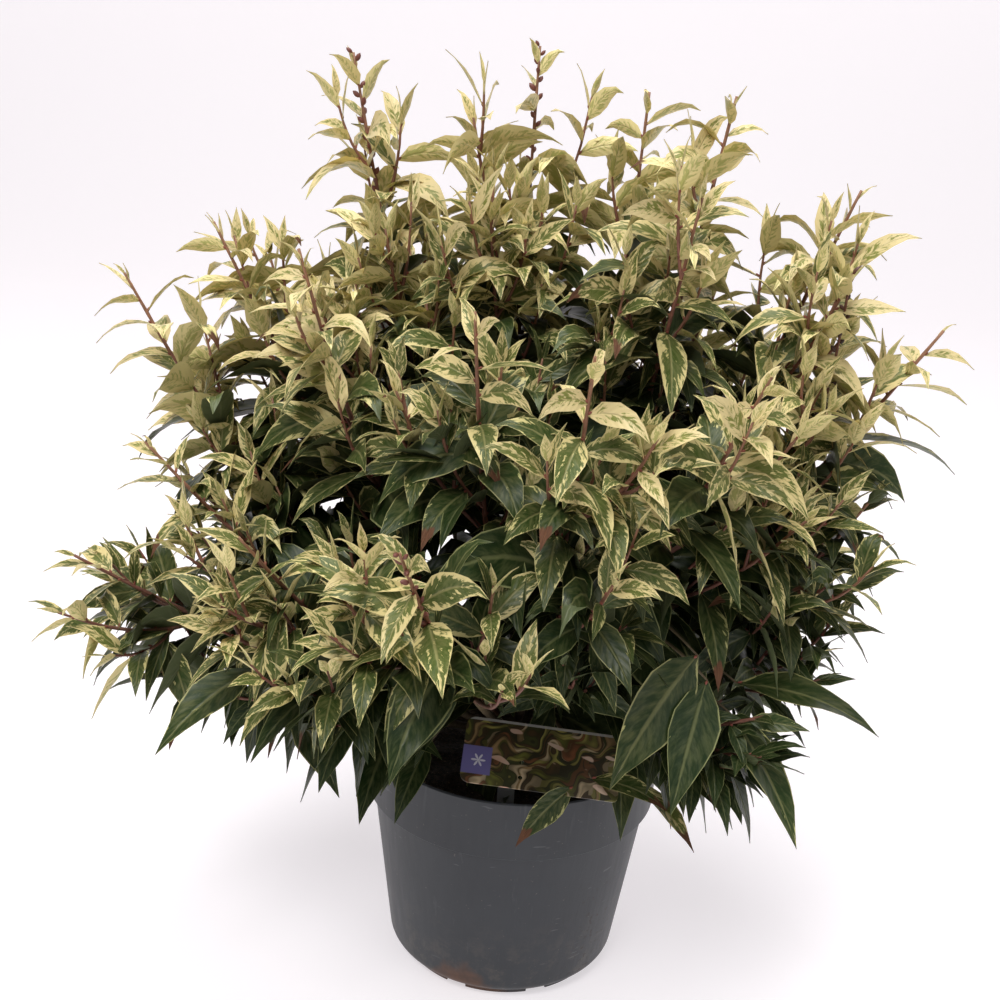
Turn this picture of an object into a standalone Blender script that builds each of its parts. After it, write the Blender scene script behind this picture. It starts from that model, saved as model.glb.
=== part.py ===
"""A potted drooping laurel: a variegated shrub of many canes in a nursery pot.

Units are metres and +Z is up. The origin is the centre of the pot's flat
underside, and the side that is seen first faces -Y. Canes spread from a short
woody stem on the soil. Each ends in one mass of foliage that grows on from its
tip and keeps to its own space in the crown.
"""

import math
import random

import bmesh
import bpy
import numpy as np
from mathutils import Matrix, Vector
from mathutils.bvhtree import BVHTree

# Clearance between touching pieces, and the distance at which points of a union merge
GAP = 0.0003
MERGE = 0.000002

# Pot: a turned shell with a wide collar, a foot ring and a centre foot
POT_HEIGHT = 0.1515
COLLAR_RADIUS = 0.0924
COLLAR_FOOT_RADIUS = 0.0917
COLLAR_FOOT_Z = 0.1134
SHOULDER_RADIUS = 0.0876
BASE_RADIUS = 0.0740
BASE_CORNER = 0.0070
FLOOR_Z = 0.0050
WALL = 0.0016
FOOT_RING_OUTER = 0.0665
FOOT_RING_INNER = 0.0570
CENTRE_FOOT_RADIUS = 0.0230
POT_SIDES = 40
NOTCHES = 8
NOTCH_WIDTH = 0.0130
NOTCH_REACH = 1.3
NOTCH_MIDDLE = 0.45
DRAIN_HOLES = 8
DRAIN_RING = 0.0400
DRAIN_RADIUS = 0.0040

# Soil, which fills the pot to just below the rim
SOIL_TOP = 0.1400
SOIL_EDGE_Z = 0.1372
SOIL_FLAT = 0.0320
SOIL_DIP = 0.0006

# Short stem that all the canes leave
STEM_RADIUS = 0.0230
STEM_FLARE = 0.0270
STEM_SHOULDER_Z = 0.1470
STEM_SIDES = 20

# Plant label: a plate held by a flat stake that stands in the soil
LABEL_WIDTH = 0.0900
LABEL_DEPTH = 0.0400
LABEL_THICK = 0.0008
LABEL_CORNER = 0.0040
LABEL_CENTRE = (0.0170, -0.0830, 0.1770)
LABEL_TILT = math.radians(38)
LABEL_ROLL = math.radians(4)
STAKE_WIDTH = 0.0100
STAKE_THICK = 0.0012
STAKE_SUNK = 0.0260
STAKE_FOOT = (-0.0020, -0.0700)

# Canes: the way each leaves the short stem, and how thick it is
FOOT_TURN = 8
FOOT_LOWEST = 21
FOOT_APART = math.radians(17)
FOOT_FLATTEST = 0.6
FOOT_ROUNDS = 200
CANE_PULL = 0.52
CANE_FOOT_RADIUS = 0.0025
CANE_END_RADIUS = 0.0019
CANE_SHARE = 0.31
CANE_POINTS = 5
CANE_SAMPLES = 25

# Shoots of a mass of foliage
SHOOT_FOOT_RADIUS = 0.0020
SHOOT_TIP_RADIUS = 0.0007
SHOOT_FORK = math.radians(48)
SHOOT_SHARE = 0.62
SHOOT_SHORTEST = 0.040
SHOOT_POINTS = 5
LEADER_POINTS = 6
LEADER_SAMPLES = 14
SIDE_SHOOTS = 3
SIDE_TRIES = 6
SIDE_FIRST = 0.06
SIDE_NEXT = 0.22
SIDE_STRAY = 0.08
SIDE_SIZES = (0.80, 1.05)
SIDE_SMALLER = 0.93
SIDE_FOLLOW = 0.45
SIDE_LIFT = 0.30
SIDE_PULL = 0.45
SIDE_BELOW_TIP = 0.022
SIDE_PAST_TIP = 0.01
SIDE_ABOVE_RIM = 0.02
SIDE_THICK = 0.8
TWIG_APART = 0.0060
TWIG_ROOT = 0.18
TWIG_SAMPLES = 12
SHOOT_SEED = 100

# Leaves, smallest at a shoot's tip
LEAF_YOUNG = 0.052
LEAF_OLD = 0.092
LEAF_GROWN_BY = 0.150
LEAF_WIDTH = 0.40
LEAF_OUTWARD = 0.80
LEAF_THICK = 0.020
LEAF_WIDEST = 0.42
LEAF_FOLD = 0.05
LEAF_STEP = 0.0226
INNER_LEAF_STEP = 0.0165
LEAF_SPREAD = math.radians(58)
LEAF_SPREAD_TIP = math.radians(30)
LEAF_FIRST = 0.10
LEAF_SIZES = (0.88, 1.10)
LEAF_DROOP = (0.30, 0.75)
LEAF_DROOP_OLD = 0.35
LEAF_ROLL = 0.35
LEAF_TRIES = 8
LEAF_TURN_ON = 0.7
LEAF_SMALLER = 0.95
LEAF_ROOT = 0.16
LEAF_GUARD = 0.0005
LEAF_NEAR = 0.6
LEAF_SEED = 500
GOLDEN_TURN = math.radians(137.5)
SPACE_SHARED = 0.012
PAST_TIP_UP = 0.020
PAST_TIP_OUT = 0.030

# Flower buds, which sit along a raceme in place of leaves
BUD_LENGTH = 0.0080
BUD_WIDTH = 0.55
BUD_STEP = 0.0095
RACEME_LENGTH = 0.062
BUD_SHARE = 0.9
BUD_FIRST = 0.15
BUD_SPREAD = 0.9

# Tip of each cane's leading shoot: azimuth in degrees from +X, reach from the
# plant's axis, and height above the ground
LIMBS = {
    "left_outer": (185, 0.236, 0.428),
    "left_shoulder": (174, 0.196, 0.454),
    "left_mid": (209, 0.146, 0.455),
    "left_tall": (154, 0.135, 0.552),
    "centre_tall": (102, 0.061, 0.562),
    "centre_right": (56, 0.097, 0.540),
    "right_tall": (0, 0.096, 0.542),
    "right_shoulder": (4, 0.173, 0.496),
    "right_outer": (352, 0.220, 0.428),
    "right_side": (348, 0.199, 0.339),
    "right_low": (9, 0.200, 0.236),
    "front_right_low": (317, 0.180, 0.235),
    "front_right": (308, 0.177, 0.420),
    "front_centre": (279, 0.160, 0.428),
    "front_left": (255, 0.126, 0.438),
    "front_low": (255, 0.215, 0.345),
    "left_front": (227, 0.206, 0.325),
    "left_side": (198, 0.222, 0.345),
    "left_far": (196, 0.262, 0.277),
    "left_low": (203, 0.180, 0.195),
}

# The back of the crown carries on with high and low limbs in turn
BACK_LIMBS = 5
BACK_FIRST = 28
BACK_STEP = 31
BACK_HIGH = (0.185, 0.430)
BACK_LOW = (0.215, 0.285)

# Short inner masses, which leave the stem itself
INNER_LIMBS = {
    "inner_left": (238, 0.125, 0.315),
    "inner_right": (304, 0.120, 0.310),
    "inner_back": (70, 0.120, 0.310),
}

# Leading shoots that end in a raceme of buds, and a bare dry raceme beside one
RACEMES = ("left_tall", "centre_tall", "front_low")
DRY_RACEMES = {"right_outer": (343, 0.167, 0.458)}
DRY_FROM = 0.45
DRY_PULL = 0.3

# Colours from the plant and its pot
POT_GREY = (0.055, 0.064, 0.073, 1.0)
PEAT = (0.035, 0.024, 0.017, 1.0)
BARK = (0.110, 0.070, 0.040, 1.0)
LEAF_GREEN = (0.120, 0.190, 0.050, 1.0)
LABEL_PRINT = (0.240, 0.230, 0.130, 1.0)
CLEAR_PLASTIC = (0.420, 0.430, 0.430, 1.0)


def clear_scene():
    """Remove every object that the file opened with."""
    for item in list(bpy.data.objects):
        bpy.data.objects.remove(item, do_unlink=True)


def new_collection(name):
    """A collection of the scene."""
    group = bpy.data.collections.new(name)
    bpy.context.scene.collection.children.link(group)
    return group


def finish(name, colour, roughness):
    """A Principled material with one colour."""
    material = bpy.data.materials.get(name)
    if material is None:
        material = bpy.data.materials.new(name)
        material.use_nodes = True
        shader = material.node_tree.nodes["Principled BSDF"]
        shader.inputs["Base Color"].default_value = colour
        shader.inputs["Roughness"].default_value = roughness
    return material


def add_object(name, mesh, group, material=None):
    """An object of the mesh in the collection."""
    item = bpy.data.objects.new(name, mesh)
    group.objects.link(item)
    if material is not None:
        mesh.materials.append(material)
    return item


def hide_cutter(item):
    """A cutter is drawn as wire and left out of renders."""
    item.hide_render = True
    item.display_type = "WIRE"


def weld(mesh):
    """Merge doubled points and turn all faces outward."""
    work = bmesh.new()
    work.from_mesh(mesh)
    bmesh.ops.remove_doubles(work, verts=work.verts, dist=0.00002)
    bmesh.ops.recalc_face_normals(work, faces=work.faces)
    work.to_mesh(mesh)
    work.free()


def turned(name, profile, sides, group, material):
    """Turn a profile of (radius, height) points, outer side top to bottom, about Z."""
    mesh = bpy.data.meshes.new(name)
    points = [(radius, 0.0, height) for radius, height in profile]
    edges = [(k, k + 1) for k in range(len(points) - 1)]
    mesh.from_pydata(points, edges, [])
    item = add_object(name, mesh, group, material)
    screw = item.modifiers.new("Turn", "SCREW")
    screw.steps = sides
    screw.render_steps = sides
    screw.use_merge_vertices = True
    screw.merge_threshold = 0.00005
    screw.use_smooth_shade = True
    return item


def box_mesh(name, width, depth, height):
    """A box centred on its origin."""
    mesh = bpy.data.meshes.new(name)
    work = bmesh.new()
    bmesh.ops.create_cube(work, size=1.0)
    bmesh.ops.scale(work, vec=(width, depth, height), verts=work.verts)
    work.to_mesh(mesh)
    work.free()
    return mesh


def cut_with(item, cutter):
    """Cut one object out of another with a live Boolean."""
    cut = item.modifiers.new("Cut " + cutter.name, "BOOLEAN")
    cut.operation = "DIFFERENCE"
    cut.solver = "EXACT"
    cut.object = cutter


# Pot, soil, short stem and label


def arc(centre, radius, start, end, count):
    """Points of an arc in the profile plane, angles in degrees."""
    angles = [math.radians(start + (end - start) * k / count) for k in range(count + 1)]
    return [(centre[0] + radius * math.cos(a), centre[1] + radius * math.sin(a)) for a in angles]


def pot_inner_profile():
    """Inside of the pot from its floor's centre up to the rim."""
    floor = FLOOR_Z + WALL
    corner = (BASE_RADIUS - BASE_CORNER, FLOOR_Z + BASE_CORNER)
    profile = [(0.0, floor)]
    profile += arc(corner, BASE_CORNER - WALL, -90, -4, 2)
    profile.append((SHOULDER_RADIUS - WALL, COLLAR_FOOT_Z))
    profile.append((COLLAR_FOOT_RADIUS - WALL, COLLAR_FOOT_Z + WALL))
    profile.append((COLLAR_RADIUS - WALL, POT_HEIGHT - WALL / 2))
    return profile


def pot_outer_profile():
    """Outside of the pot from the rim down to the centre of its underside."""
    corner = (BASE_RADIUS - BASE_CORNER, FLOOR_Z + BASE_CORNER)
    profile = [(COLLAR_RADIUS - WALL / 2, POT_HEIGHT)]
    profile.append((COLLAR_RADIUS, POT_HEIGHT - WALL / 2))
    profile.append((COLLAR_FOOT_RADIUS, COLLAR_FOOT_Z))
    profile.append((SHOULDER_RADIUS, COLLAR_FOOT_Z - WALL / 2))
    profile += arc(corner, BASE_CORNER, -4, -90, 3)
    profile.append((FOOT_RING_OUTER, FLOOR_Z))
    profile.append((FOOT_RING_OUTER - WALL / 2, 0.0))
    profile.append((FOOT_RING_INNER + WALL / 2, 0.0))
    profile.append((FOOT_RING_INNER, FLOOR_Z))
    profile.append((CENTRE_FOOT_RADIUS + WALL / 2, FLOOR_Z))
    profile.append((CENTRE_FOOT_RADIUS, 0.0))
    profile.append((0.0, 0.0))
    return profile


def make_pot(group, cutters):
    """The pot, with notches through its foot ring and drain holes in its floor."""
    pot = turned("pot", pot_inner_profile() + pot_outer_profile(), POT_SIDES, group,
                 finish("Pot plastic", POT_GREY, 0.55))
    ring_middle = (FOOT_RING_OUTER + FOOT_RING_INNER) / 2
    ring_width = FOOT_RING_OUTER - FOOT_RING_INNER
    work = bmesh.new()
    for k in range(NOTCHES):
        turn = 2 * math.pi * (k + 0.5) / NOTCHES
        made = bmesh.ops.create_cube(work, size=1.0)["verts"]
        bmesh.ops.scale(work, vec=(ring_width * NOTCH_REACH, NOTCH_WIDTH, FLOOR_Z), verts=made)
        bmesh.ops.translate(work, vec=(ring_middle, 0.0, FLOOR_Z * NOTCH_MIDDLE), verts=made)
        bmesh.ops.rotate(work, matrix=Matrix.Rotation(turn, 3, "Z"), cent=(0, 0, 0), verts=made)
    for k in range(DRAIN_HOLES):
        turn = 2 * math.pi * k / DRAIN_HOLES
        made = bmesh.ops.create_cone(work, cap_ends=True, segments=10, radius1=DRAIN_RADIUS,
                                     radius2=DRAIN_RADIUS, depth=6 * WALL)["verts"]
        bmesh.ops.translate(work, vec=(DRAIN_RING, 0.0, FLOOR_Z), verts=made)
        bmesh.ops.rotate(work, matrix=Matrix.Rotation(turn, 3, "Z"), cent=(0, 0, 0), verts=made)
    mesh = bpy.data.meshes.new("pot_notches")
    work.to_mesh(mesh)
    work.free()
    cutter = add_object("pot_notches", mesh, cutters)
    hide_cutter(cutter)
    cut_with(pot, cutter)
    return pot


def make_soil(group, cutters):
    """Peat that fills the pot, clear of its wall, with a slot for the stake."""
    inner = [(radius, height) for radius, height in pot_inner_profile() if height < SOIL_EDGE_Z]
    rim_radius = COLLAR_RADIUS - WALL - GAP * 2
    profile = [(0.0, SOIL_TOP), (SOIL_FLAT, SOIL_TOP)]
    profile.append(((SOIL_FLAT + rim_radius) / 2, SOIL_TOP - SOIL_DIP))
    profile.append((rim_radius, SOIL_EDGE_Z))
    for radius, height in reversed(inner[1:]):
        profile.append((radius - GAP, height + GAP))
    profile.append((0.0, FLOOR_Z + WALL + GAP))
    soil = turned("soil", profile, POT_SIDES, group, finish("Peat", PEAT, 0.95))
    slot = add_object("stake_slot", box_mesh("stake_slot", STAKE_WIDTH + 2 * GAP, STAKE_THICK + 2 * GAP,
                                             2 * (STAKE_SUNK + GAP)), cutters)
    slot.location = (STAKE_FOOT[0], STAKE_FOOT[1], SOIL_TOP)
    hide_cutter(slot)
    cut_with(soil, slot)
    return soil


def make_short_stem(group):
    """The woody stem on the soil: a flare below and a dome that the canes leave."""
    profile = [(0.0, STEM_SHOULDER_Z + STEM_RADIUS)]
    profile += arc((0.0, STEM_SHOULDER_Z), STEM_RADIUS, 75, 0, 5)
    profile.append((STEM_FLARE, SOIL_TOP + GAP))
    profile.append((0.0, SOIL_TOP + GAP))
    return turned("short_stem", profile, STEM_SIDES, group, finish("Bark", BARK, 0.85))


def label_underside(x, y):
    """Height of the leaning plate's lower side above a point of the ground."""
    rise = (y - LABEL_CENTRE[1]) * math.tan(LABEL_TILT) - (x - LABEL_CENTRE[0]) * math.tan(LABEL_ROLL)
    return LABEL_CENTRE[2] + rise - LABEL_THICK / 2 / math.cos(LABEL_TILT)


def label_samples():
    """Points over the leaning plate, less than a twig's clearance apart."""
    across = np.linspace(-LABEL_WIDTH / 2, LABEL_WIDTH / 2, 19)
    up = np.linspace(-LABEL_DEPTH / 2, LABEL_DEPTH / 2, 10)
    x, t = (grid.ravel() for grid in np.meshgrid(across, up))
    y = LABEL_CENTRE[1] + t * math.cos(LABEL_TILT)
    z = LABEL_CENTRE[2] + t * math.sin(LABEL_TILT) - x * math.tan(LABEL_ROLL)
    return np.stack((LABEL_CENTRE[0] + x, y, z), axis=1)


def make_label(group):
    """The label's plate and the stake behind it."""
    plate = add_object("label_plate", box_mesh("label_plate", LABEL_WIDTH, LABEL_DEPTH, LABEL_THICK),
                       group, finish("Label print", LABEL_PRINT, 0.35))
    plate.location = LABEL_CENTRE
    plate.rotation_euler = (LABEL_TILT, LABEL_ROLL, 0.0)
    rounded = plate.modifiers.new("Round corners", "BEVEL")
    rounded.width = LABEL_CORNER
    rounded.segments = 2
    rounded.limit_method = "WEIGHT"
    weights = plate.data.attributes.new("bevel_weight_edge", "FLOAT", "EDGE")
    for edge in plate.data.edges:
        first, second = (plate.data.vertices[k].co for k in edge.vertices)
        if abs(first.z - second.z) > LABEL_THICK / 2:
            weights.data[edge.index].value = 1.0
    foot = SOIL_TOP - STAKE_SUNK
    length = label_underside(STAKE_FOOT[0] + STAKE_WIDTH / 2, STAKE_FOOT[1] - STAKE_THICK / 2) - GAP - foot
    stake = add_object("label_stake", box_mesh("label_stake", STAKE_WIDTH, STAKE_THICK, length),
                       group, finish("Clear plastic", CLEAR_PLASTIC, 0.2))
    stake.location = (STAKE_FOOT[0], STAKE_FOOT[1], foot + length / 2)
    return plate, stake


# Paths of the canes and shoots


def limb_tips():
    """Every limb's name and its tip, from the three tables of the crown."""
    table = dict(LIMBS)
    for k in range(BACK_LIMBS):
        reach, height = BACK_LOW if k % 2 == 0 else BACK_HIGH
        table["back_%d" % (k + 1)] = (BACK_FIRST + BACK_STEP * k, reach, height)
    table.update(INNER_LIMBS)
    return {name: polar(*place) for name, place in table.items()}


def polar(azimuth, reach, height):
    """A point from its azimuth in degrees, its reach and its height."""
    turn = math.radians(azimuth)
    return np.array((reach * math.cos(turn), reach * math.sin(turn), height))


def unit(vector):
    """The vector at length 1."""
    return vector / np.linalg.norm(vector)


def foot_headings(tips):
    """The way each limb leaves the stem: towards its tip, lower at first, and spread apart."""
    centre = np.array((0.0, 0.0, STEM_SHOULDER_Z))
    headings = []
    for tip in tips:
        rise = math.degrees(math.atan2(tip[2] - centre[2], math.hypot(tip[0], tip[1])))
        rise = math.radians(max(rise - FOOT_TURN, FOOT_LOWEST))
        level = unit(np.array((tip[0], tip[1], 0.0)))
        headings.append(level * math.cos(rise) + np.array((0.0, 0.0, math.sin(rise))))
    headings = np.array(headings)
    lowest = math.sin(math.radians(FOOT_LOWEST * FOOT_FLATTEST))
    for _ in range(FOOT_ROUNDS):
        cosines = np.clip(headings @ headings.T, -1.0, 1.0)
        apart = np.arccos(cosines)
        push = np.maximum(FOOT_APART - apart, 0.0)
        np.fill_diagonal(push, 0.0)
        away = headings[:, None, :] - headings[None, :, :]
        size = np.linalg.norm(away, axis=2, keepdims=True) + 1e-9
        headings = headings + 0.5 * (push[:, :, None] * away / size).sum(axis=1)
        headings[:, 2] = np.maximum(headings[:, 2], lowest)
        headings /= np.linalg.norm(headings, axis=1, keepdims=True)
    return headings


def bend(start, heading, end, pull, count):
    """A quadratic curve that leaves start along heading and ends at end, as count points."""
    corner = start + heading * pull * np.linalg.norm(end - start)
    t = np.linspace(0.0, 1.0, count)[:, None]
    return (1 - t) ** 2 * start + 2 * t * (1 - t) * corner + t ** 2 * end


def along(path, share):
    """The point and direction at a share of a path's length."""
    steps = np.linalg.norm(np.diff(path, axis=0), axis=1)
    runs = np.concatenate(([0.0], np.cumsum(steps)))
    place = share * runs[-1]
    k = min(int(np.searchsorted(runs, place, side="right")) - 1, len(steps) - 1)
    part = (place - runs[k]) / steps[k]
    point = path[k] + part * (path[k + 1] - path[k])
    return point, unit(path[k + 1] - path[k])


def stretch(path, first, last, count):
    """Evenly spaced points of a path between two shares of its length."""
    return np.array([along(path, first + (last - first) * k / (count - 1))[0] for k in range(count)])


def path_length(path):
    """A path's length."""
    return float(np.linalg.norm(np.diff(path, axis=0), axis=1).sum())


def nearest(points, path):
    """Least distance from each point to a path's sample points."""
    gaps = points[:, None, :] - path[None, :, :]
    return np.sqrt((gaps ** 2).sum(axis=2)).min(axis=1)


class Space:
    """The part of the crown that is nearer to one mass's leading shoot than to any other."""

    def __init__(self, leaders):
        self.samples = {name: stretch(path, 0.0, 1.0, 9) for name, path in leaders.items()}

    def holds(self, name, points, shared):
        """True if every point is in the named mass's space, or past its edge by less than shared."""
        own = nearest(points, self.samples[name])
        others = np.concatenate([path for key, path in self.samples.items() if key != name])
        return bool((own - nearest(points, others) < 2 * shared).all())


def side_shoots(leader, name, space, chance):
    """Side shoots of a leading shoot by a seeded rule; one that would leave the space is skipped."""
    shoots = []
    whole = path_length(leader)
    turn = chance.uniform(0, 2 * math.pi)
    for k in range(SIDE_SHOOTS):
        for attempt in range(SIDE_TRIES):
            foot, heading = along(leader, SIDE_FIRST + SIDE_NEXT * k + chance.uniform(0.0, SIDE_STRAY))
            across = any_across(heading, turn + math.pi * k + attempt * GOLDEN_TURN)
            start = unit(heading * math.cos(SHOOT_FORK) + across * math.sin(SHOOT_FORK))
            final = unit(start + SIDE_FOLLOW * heading + np.array((0.0, 0.0, SIDE_LIFT)))
            reach = whole * SHOOT_SHARE * chance.uniform(*SIDE_SIZES) * SIDE_SMALLER ** attempt
            if reach < SHOOT_SHORTEST:
                continue
            shoot = bend(foot, start, foot + final * reach, SIDE_PULL, SHOOT_POINTS)
            tip = leader[-1]
            below = shoot[-1][2] < tip[2] - SIDE_BELOW_TIP
            above = shoot[-1][2] > POT_HEIGHT + SIDE_ABOVE_RIM
            inside = math.hypot(shoot[-1][0], shoot[-1][1]) < math.hypot(tip[0], tip[1]) + SIDE_PAST_TIP
            if below and above and inside and space.holds(name, shoot[2:], 0.0):
                shoots.append(shoot)
                break
    return shoots


def any_across(heading, turn):
    """A unit vector at right angles to heading, turned round it from the level one."""
    up = np.array((0.0, 0.0, 1.0)) if abs(heading[2]) < 0.95 else np.array((1.0, 0.0, 0.0))
    level = unit(np.cross(up, heading))
    return level * math.cos(turn) + np.cross(heading, level) * math.sin(turn)


# Solids of the canes, twigs, leaves and buds


def tube(name, path, first_radius, last_radius, group, ring=None):
    """A tapering tube along a path, six-sided or with the section of ring, as a closed mesh object."""
    data = bpy.data.curves.new(name, "CURVE")
    data.dimensions = "3D"
    data.use_fill_caps = True
    if ring is None:
        data.bevel_depth = 1.0
        data.bevel_resolution = 1
    else:
        data.bevel_mode = "OBJECT"
        data.bevel_object = ring
    spline = data.splines.new("POLY")
    spline.points.add(len(path) - 1)
    for k, point in enumerate(path):
        share = k / (len(path) - 1)
        spline.points[k].co = (point[0], point[1], point[2], 1.0)
        spline.points[k].radius = first_radius + (last_radius - first_radius) * share
    guide = bpy.data.objects.new(name + "_guide", data)
    bpy.context.scene.collection.objects.link(guide)
    graph = bpy.context.evaluated_depsgraph_get()
    mesh = bpy.data.meshes.new_from_object(guide.evaluated_get(graph))
    mesh.name = name
    bpy.data.objects.remove(guide, do_unlink=True)
    weld(mesh)
    return add_object(name, mesh, group)


def three_sided_ring():
    """The section of a twig: a triangle of radius 1."""
    data = bpy.data.curves.new("twig_section", "CURVE")
    data.dimensions = "2D"
    spline = data.splines.new("POLY")
    spline.points.add(2)
    for k in range(3):
        turn = 2 * math.pi * k / 3
        spline.points[k].co = (math.cos(turn), math.sin(turn), 0.0, 1.0)
    spline.use_cyclic_u = True
    ring = bpy.data.objects.new("twig_section", data)
    bpy.context.scene.collection.objects.link(ring)
    hide_cutter(ring)
    return ring


def blade_points(foot, heading, droop, length, width, thick, fold):
    """Six points of a leaf: foot, tip, two edges, and the midrib's upper and lower side."""
    down = np.array((0.0, 0.0, -1.0))
    outer = unit(heading + down * droop)
    across = np.cross(heading, down)
    if np.linalg.norm(across) < 0.2:
        across = np.cross(heading, np.array((1.0, 0.0, 0.0)))
    across = unit(across)
    upper = unit(np.cross(across, heading + outer))
    if upper[2] < 0:
        upper = -upper
    middle = foot + heading * length * LEAF_WIDEST
    tip = middle + outer * length * (1 - LEAF_WIDEST)
    half = across * length * width / 2
    lift = upper * length * fold
    core = upper * length * thick / 2
    return np.array((foot, tip, middle + half + lift, middle - half + lift, middle + core, middle - core))


def roll_about(points, heading, angle):
    """Turn a leaf's points about its heading through its foot."""
    foot = points[0]
    offset = points - foot
    cosine = math.cos(angle)
    sine = math.sin(angle)
    crossed = np.cross(np.broadcast_to(heading, offset.shape), offset)
    inline = (offset @ heading)[:, None] * heading
    return foot + offset * cosine + crossed * sine + inline * (1 - cosine)


BLADE_FACES = ((0, 2, 4), (2, 1, 4), (1, 3, 4), (3, 0, 4), (2, 0, 5), (1, 2, 5), (3, 1, 5), (0, 3, 5))


def outward_roll(points, heading):
    """The roll that turns a leaf's upper side away from the plant's axis."""
    upper = unit(points[4] - points[5])
    aside = np.cross(heading, upper)
    level = unit(np.array((points[0][0], points[0][1], 0.0)))
    return LEAF_OUTWARD * float(aside @ level)


def blade_tree(points, guard=0.0):
    """A search tree of a leaf, grown by a guard all round."""
    grown = points.copy()
    if guard:
        middle = (points[4] + points[5]) / 2
        side = unit(points[2] - points[3])
        lift = unit(points[4] - points[5])
        reach = unit(points[1] - points[0])
        grown[0] = points[0] + (middle - points[0]) * LEAF_ROOT
        grown[1] = points[1] + reach * guard * 2
        grown[2] = points[2] + side * guard * 2
        grown[3] = points[3] - side * guard * 2
        grown[4] = points[4] + lift * guard * 2
        grown[5] = points[5] - lift * guard * 2
    return BVHTree.FromPolygons([tuple(p) for p in grown], BLADE_FACES)


def object_tree(item):
    """A search tree of an object as it is built."""
    graph = bpy.context.evaluated_depsgraph_get()
    shape = item.evaluated_get(graph)
    mesh = shape.to_mesh()
    points = [tuple(item.matrix_world @ vertex.co) for vertex in mesh.vertices]
    faces = [tuple(face.vertices) for face in mesh.polygons]
    shape.to_mesh_clear()
    return BVHTree.FromPolygons(points, faces)


def blade_object(name, points, group):
    """A leaf or bud as a closed eight-faced mesh, shaped from an octahedron."""
    mesh = bpy.data.meshes.new(name)
    work = bmesh.new()
    bmesh.ops.create_uvsphere(work, u_segments=4, v_segments=2, radius=1.0)
    work.verts.ensure_lookup_table()
    for vertex in work.verts:
        place = vertex.co.copy()
        if abs(place.z) > 0.5:
            vertex.co = Vector(points[4] if place.z > 0 else points[5])
        elif abs(place.x) > 0.5:
            vertex.co = Vector(points[0] if place.x < 0 else points[1])
        else:
            vertex.co = Vector(points[2] if place.y > 0 else points[3])
    bmesh.ops.recalc_face_normals(work, faces=work.faces)
    work.to_mesh(mesh)
    work.free()
    return add_object(name, mesh, group)


class Crown:
    """The paths of all limbs, and what already has its place, so that new leaves keep clear."""

    def __init__(self):
        tips = limb_tips()
        headings = dict(zip(tips, foot_headings(list(tips.values()))))
        centre = np.array((0.0, 0.0, STEM_SHOULDER_Z))
        self.canes = {}
        self.leaders = {}
        for name, tip in tips.items():
            foot = centre + headings[name] * (STEM_RADIUS + GAP)
            whole = bend(foot, headings[name], tip, CANE_PULL, CANE_SAMPLES)
            if name in INNER_LIMBS:
                self.leaders[name] = stretch(whole, 0.0, 1.0, LEADER_POINTS)
            else:
                mass_foot = CANE_SHARE + GAP / path_length(whole)
                self.canes[name] = stretch(whole, 0.0, CANE_SHARE, CANE_POINTS)
                self.leaders[name] = stretch(whole, mass_foot, 1.0, LEADER_POINTS)
        self.space = Space(self.leaders)
        self.solids = []
        self.leaves = []

    def add_solid(self, item, owner=""):
        """Note a solid that leaves keep clear of past their root; buds may touch their owner's."""
        self.solids.append((owner, object_tree(item)))

    def clear_of_all(self, name, points, bud=False):
        """True if the leaf is in its mass's space and, past its root, touches no other piece."""
        if not self.space.holds(name, points[1:], SPACE_SHARED):
            return False
        tip = self.leaders[name][-1]
        reach = np.hypot(points[:, 0], points[:, 1]).max()
        if points[:, 2].max() > tip[2] + PAST_TIP_UP or reach > math.hypot(tip[0], tip[1]) + PAST_TIP_OUT:
            return False
        tree = blade_tree(points, LEAF_GUARD)
        if any(tree.overlap(solid) for owner, solid in self.solids if owner != name or not bud):
            return False
        centre = points.mean(axis=0)
        radius = np.linalg.norm(points[1] - points[0])
        for other_centre, other_radius, other_tree in self.leaves:
            if np.linalg.norm(centre - other_centre) < (radius + other_radius) * LEAF_NEAR:
                if tree.overlap(other_tree):
                    return False
        return True

    def keep(self, points):
        """Note a leaf that was placed."""
        radius = np.linalg.norm(points[1] - points[0])
        self.leaves.append((points.mean(axis=0), radius, blade_tree(points)))


def grow_shoots(crown):
    """Every mass's leading shoot and its side shoots; a twig too near another is skipped."""
    shoots = {}
    taken = [stretch(path, 0.0, 1.0, LEADER_SAMPLES) for path in crown.leaders.values()]
    taken += [stretch(path, 0.0, 1.0, LEADER_SAMPLES) for path in crown.canes.values()]
    taken.append(label_samples())
    for number, (name, leader) in enumerate(crown.leaders.items()):
        chance = random.Random(SHOOT_SEED + number)
        found = [leader]
        for shoot in side_shoots(leader, name, crown.space, chance):
            free = stretch(shoot, TWIG_ROOT, 1.0, TWIG_SAMPLES)
            if nearest(free, np.concatenate(taken)).min() > TWIG_APART:
                found.append(shoot)
                taken.append(free)
        if name in DRY_RACEMES:
            foot, heading = along(leader, DRY_FROM)
            end = polar(*DRY_RACEMES[name])
            found.append(bend(foot, unit(heading + unit(end - foot)), end, DRY_PULL, SHOOT_POINTS))
            taken.append(stretch(found[-1], TWIG_ROOT, 1.0, TWIG_SAMPLES))
        shoots[name] = found
    return shoots


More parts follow.
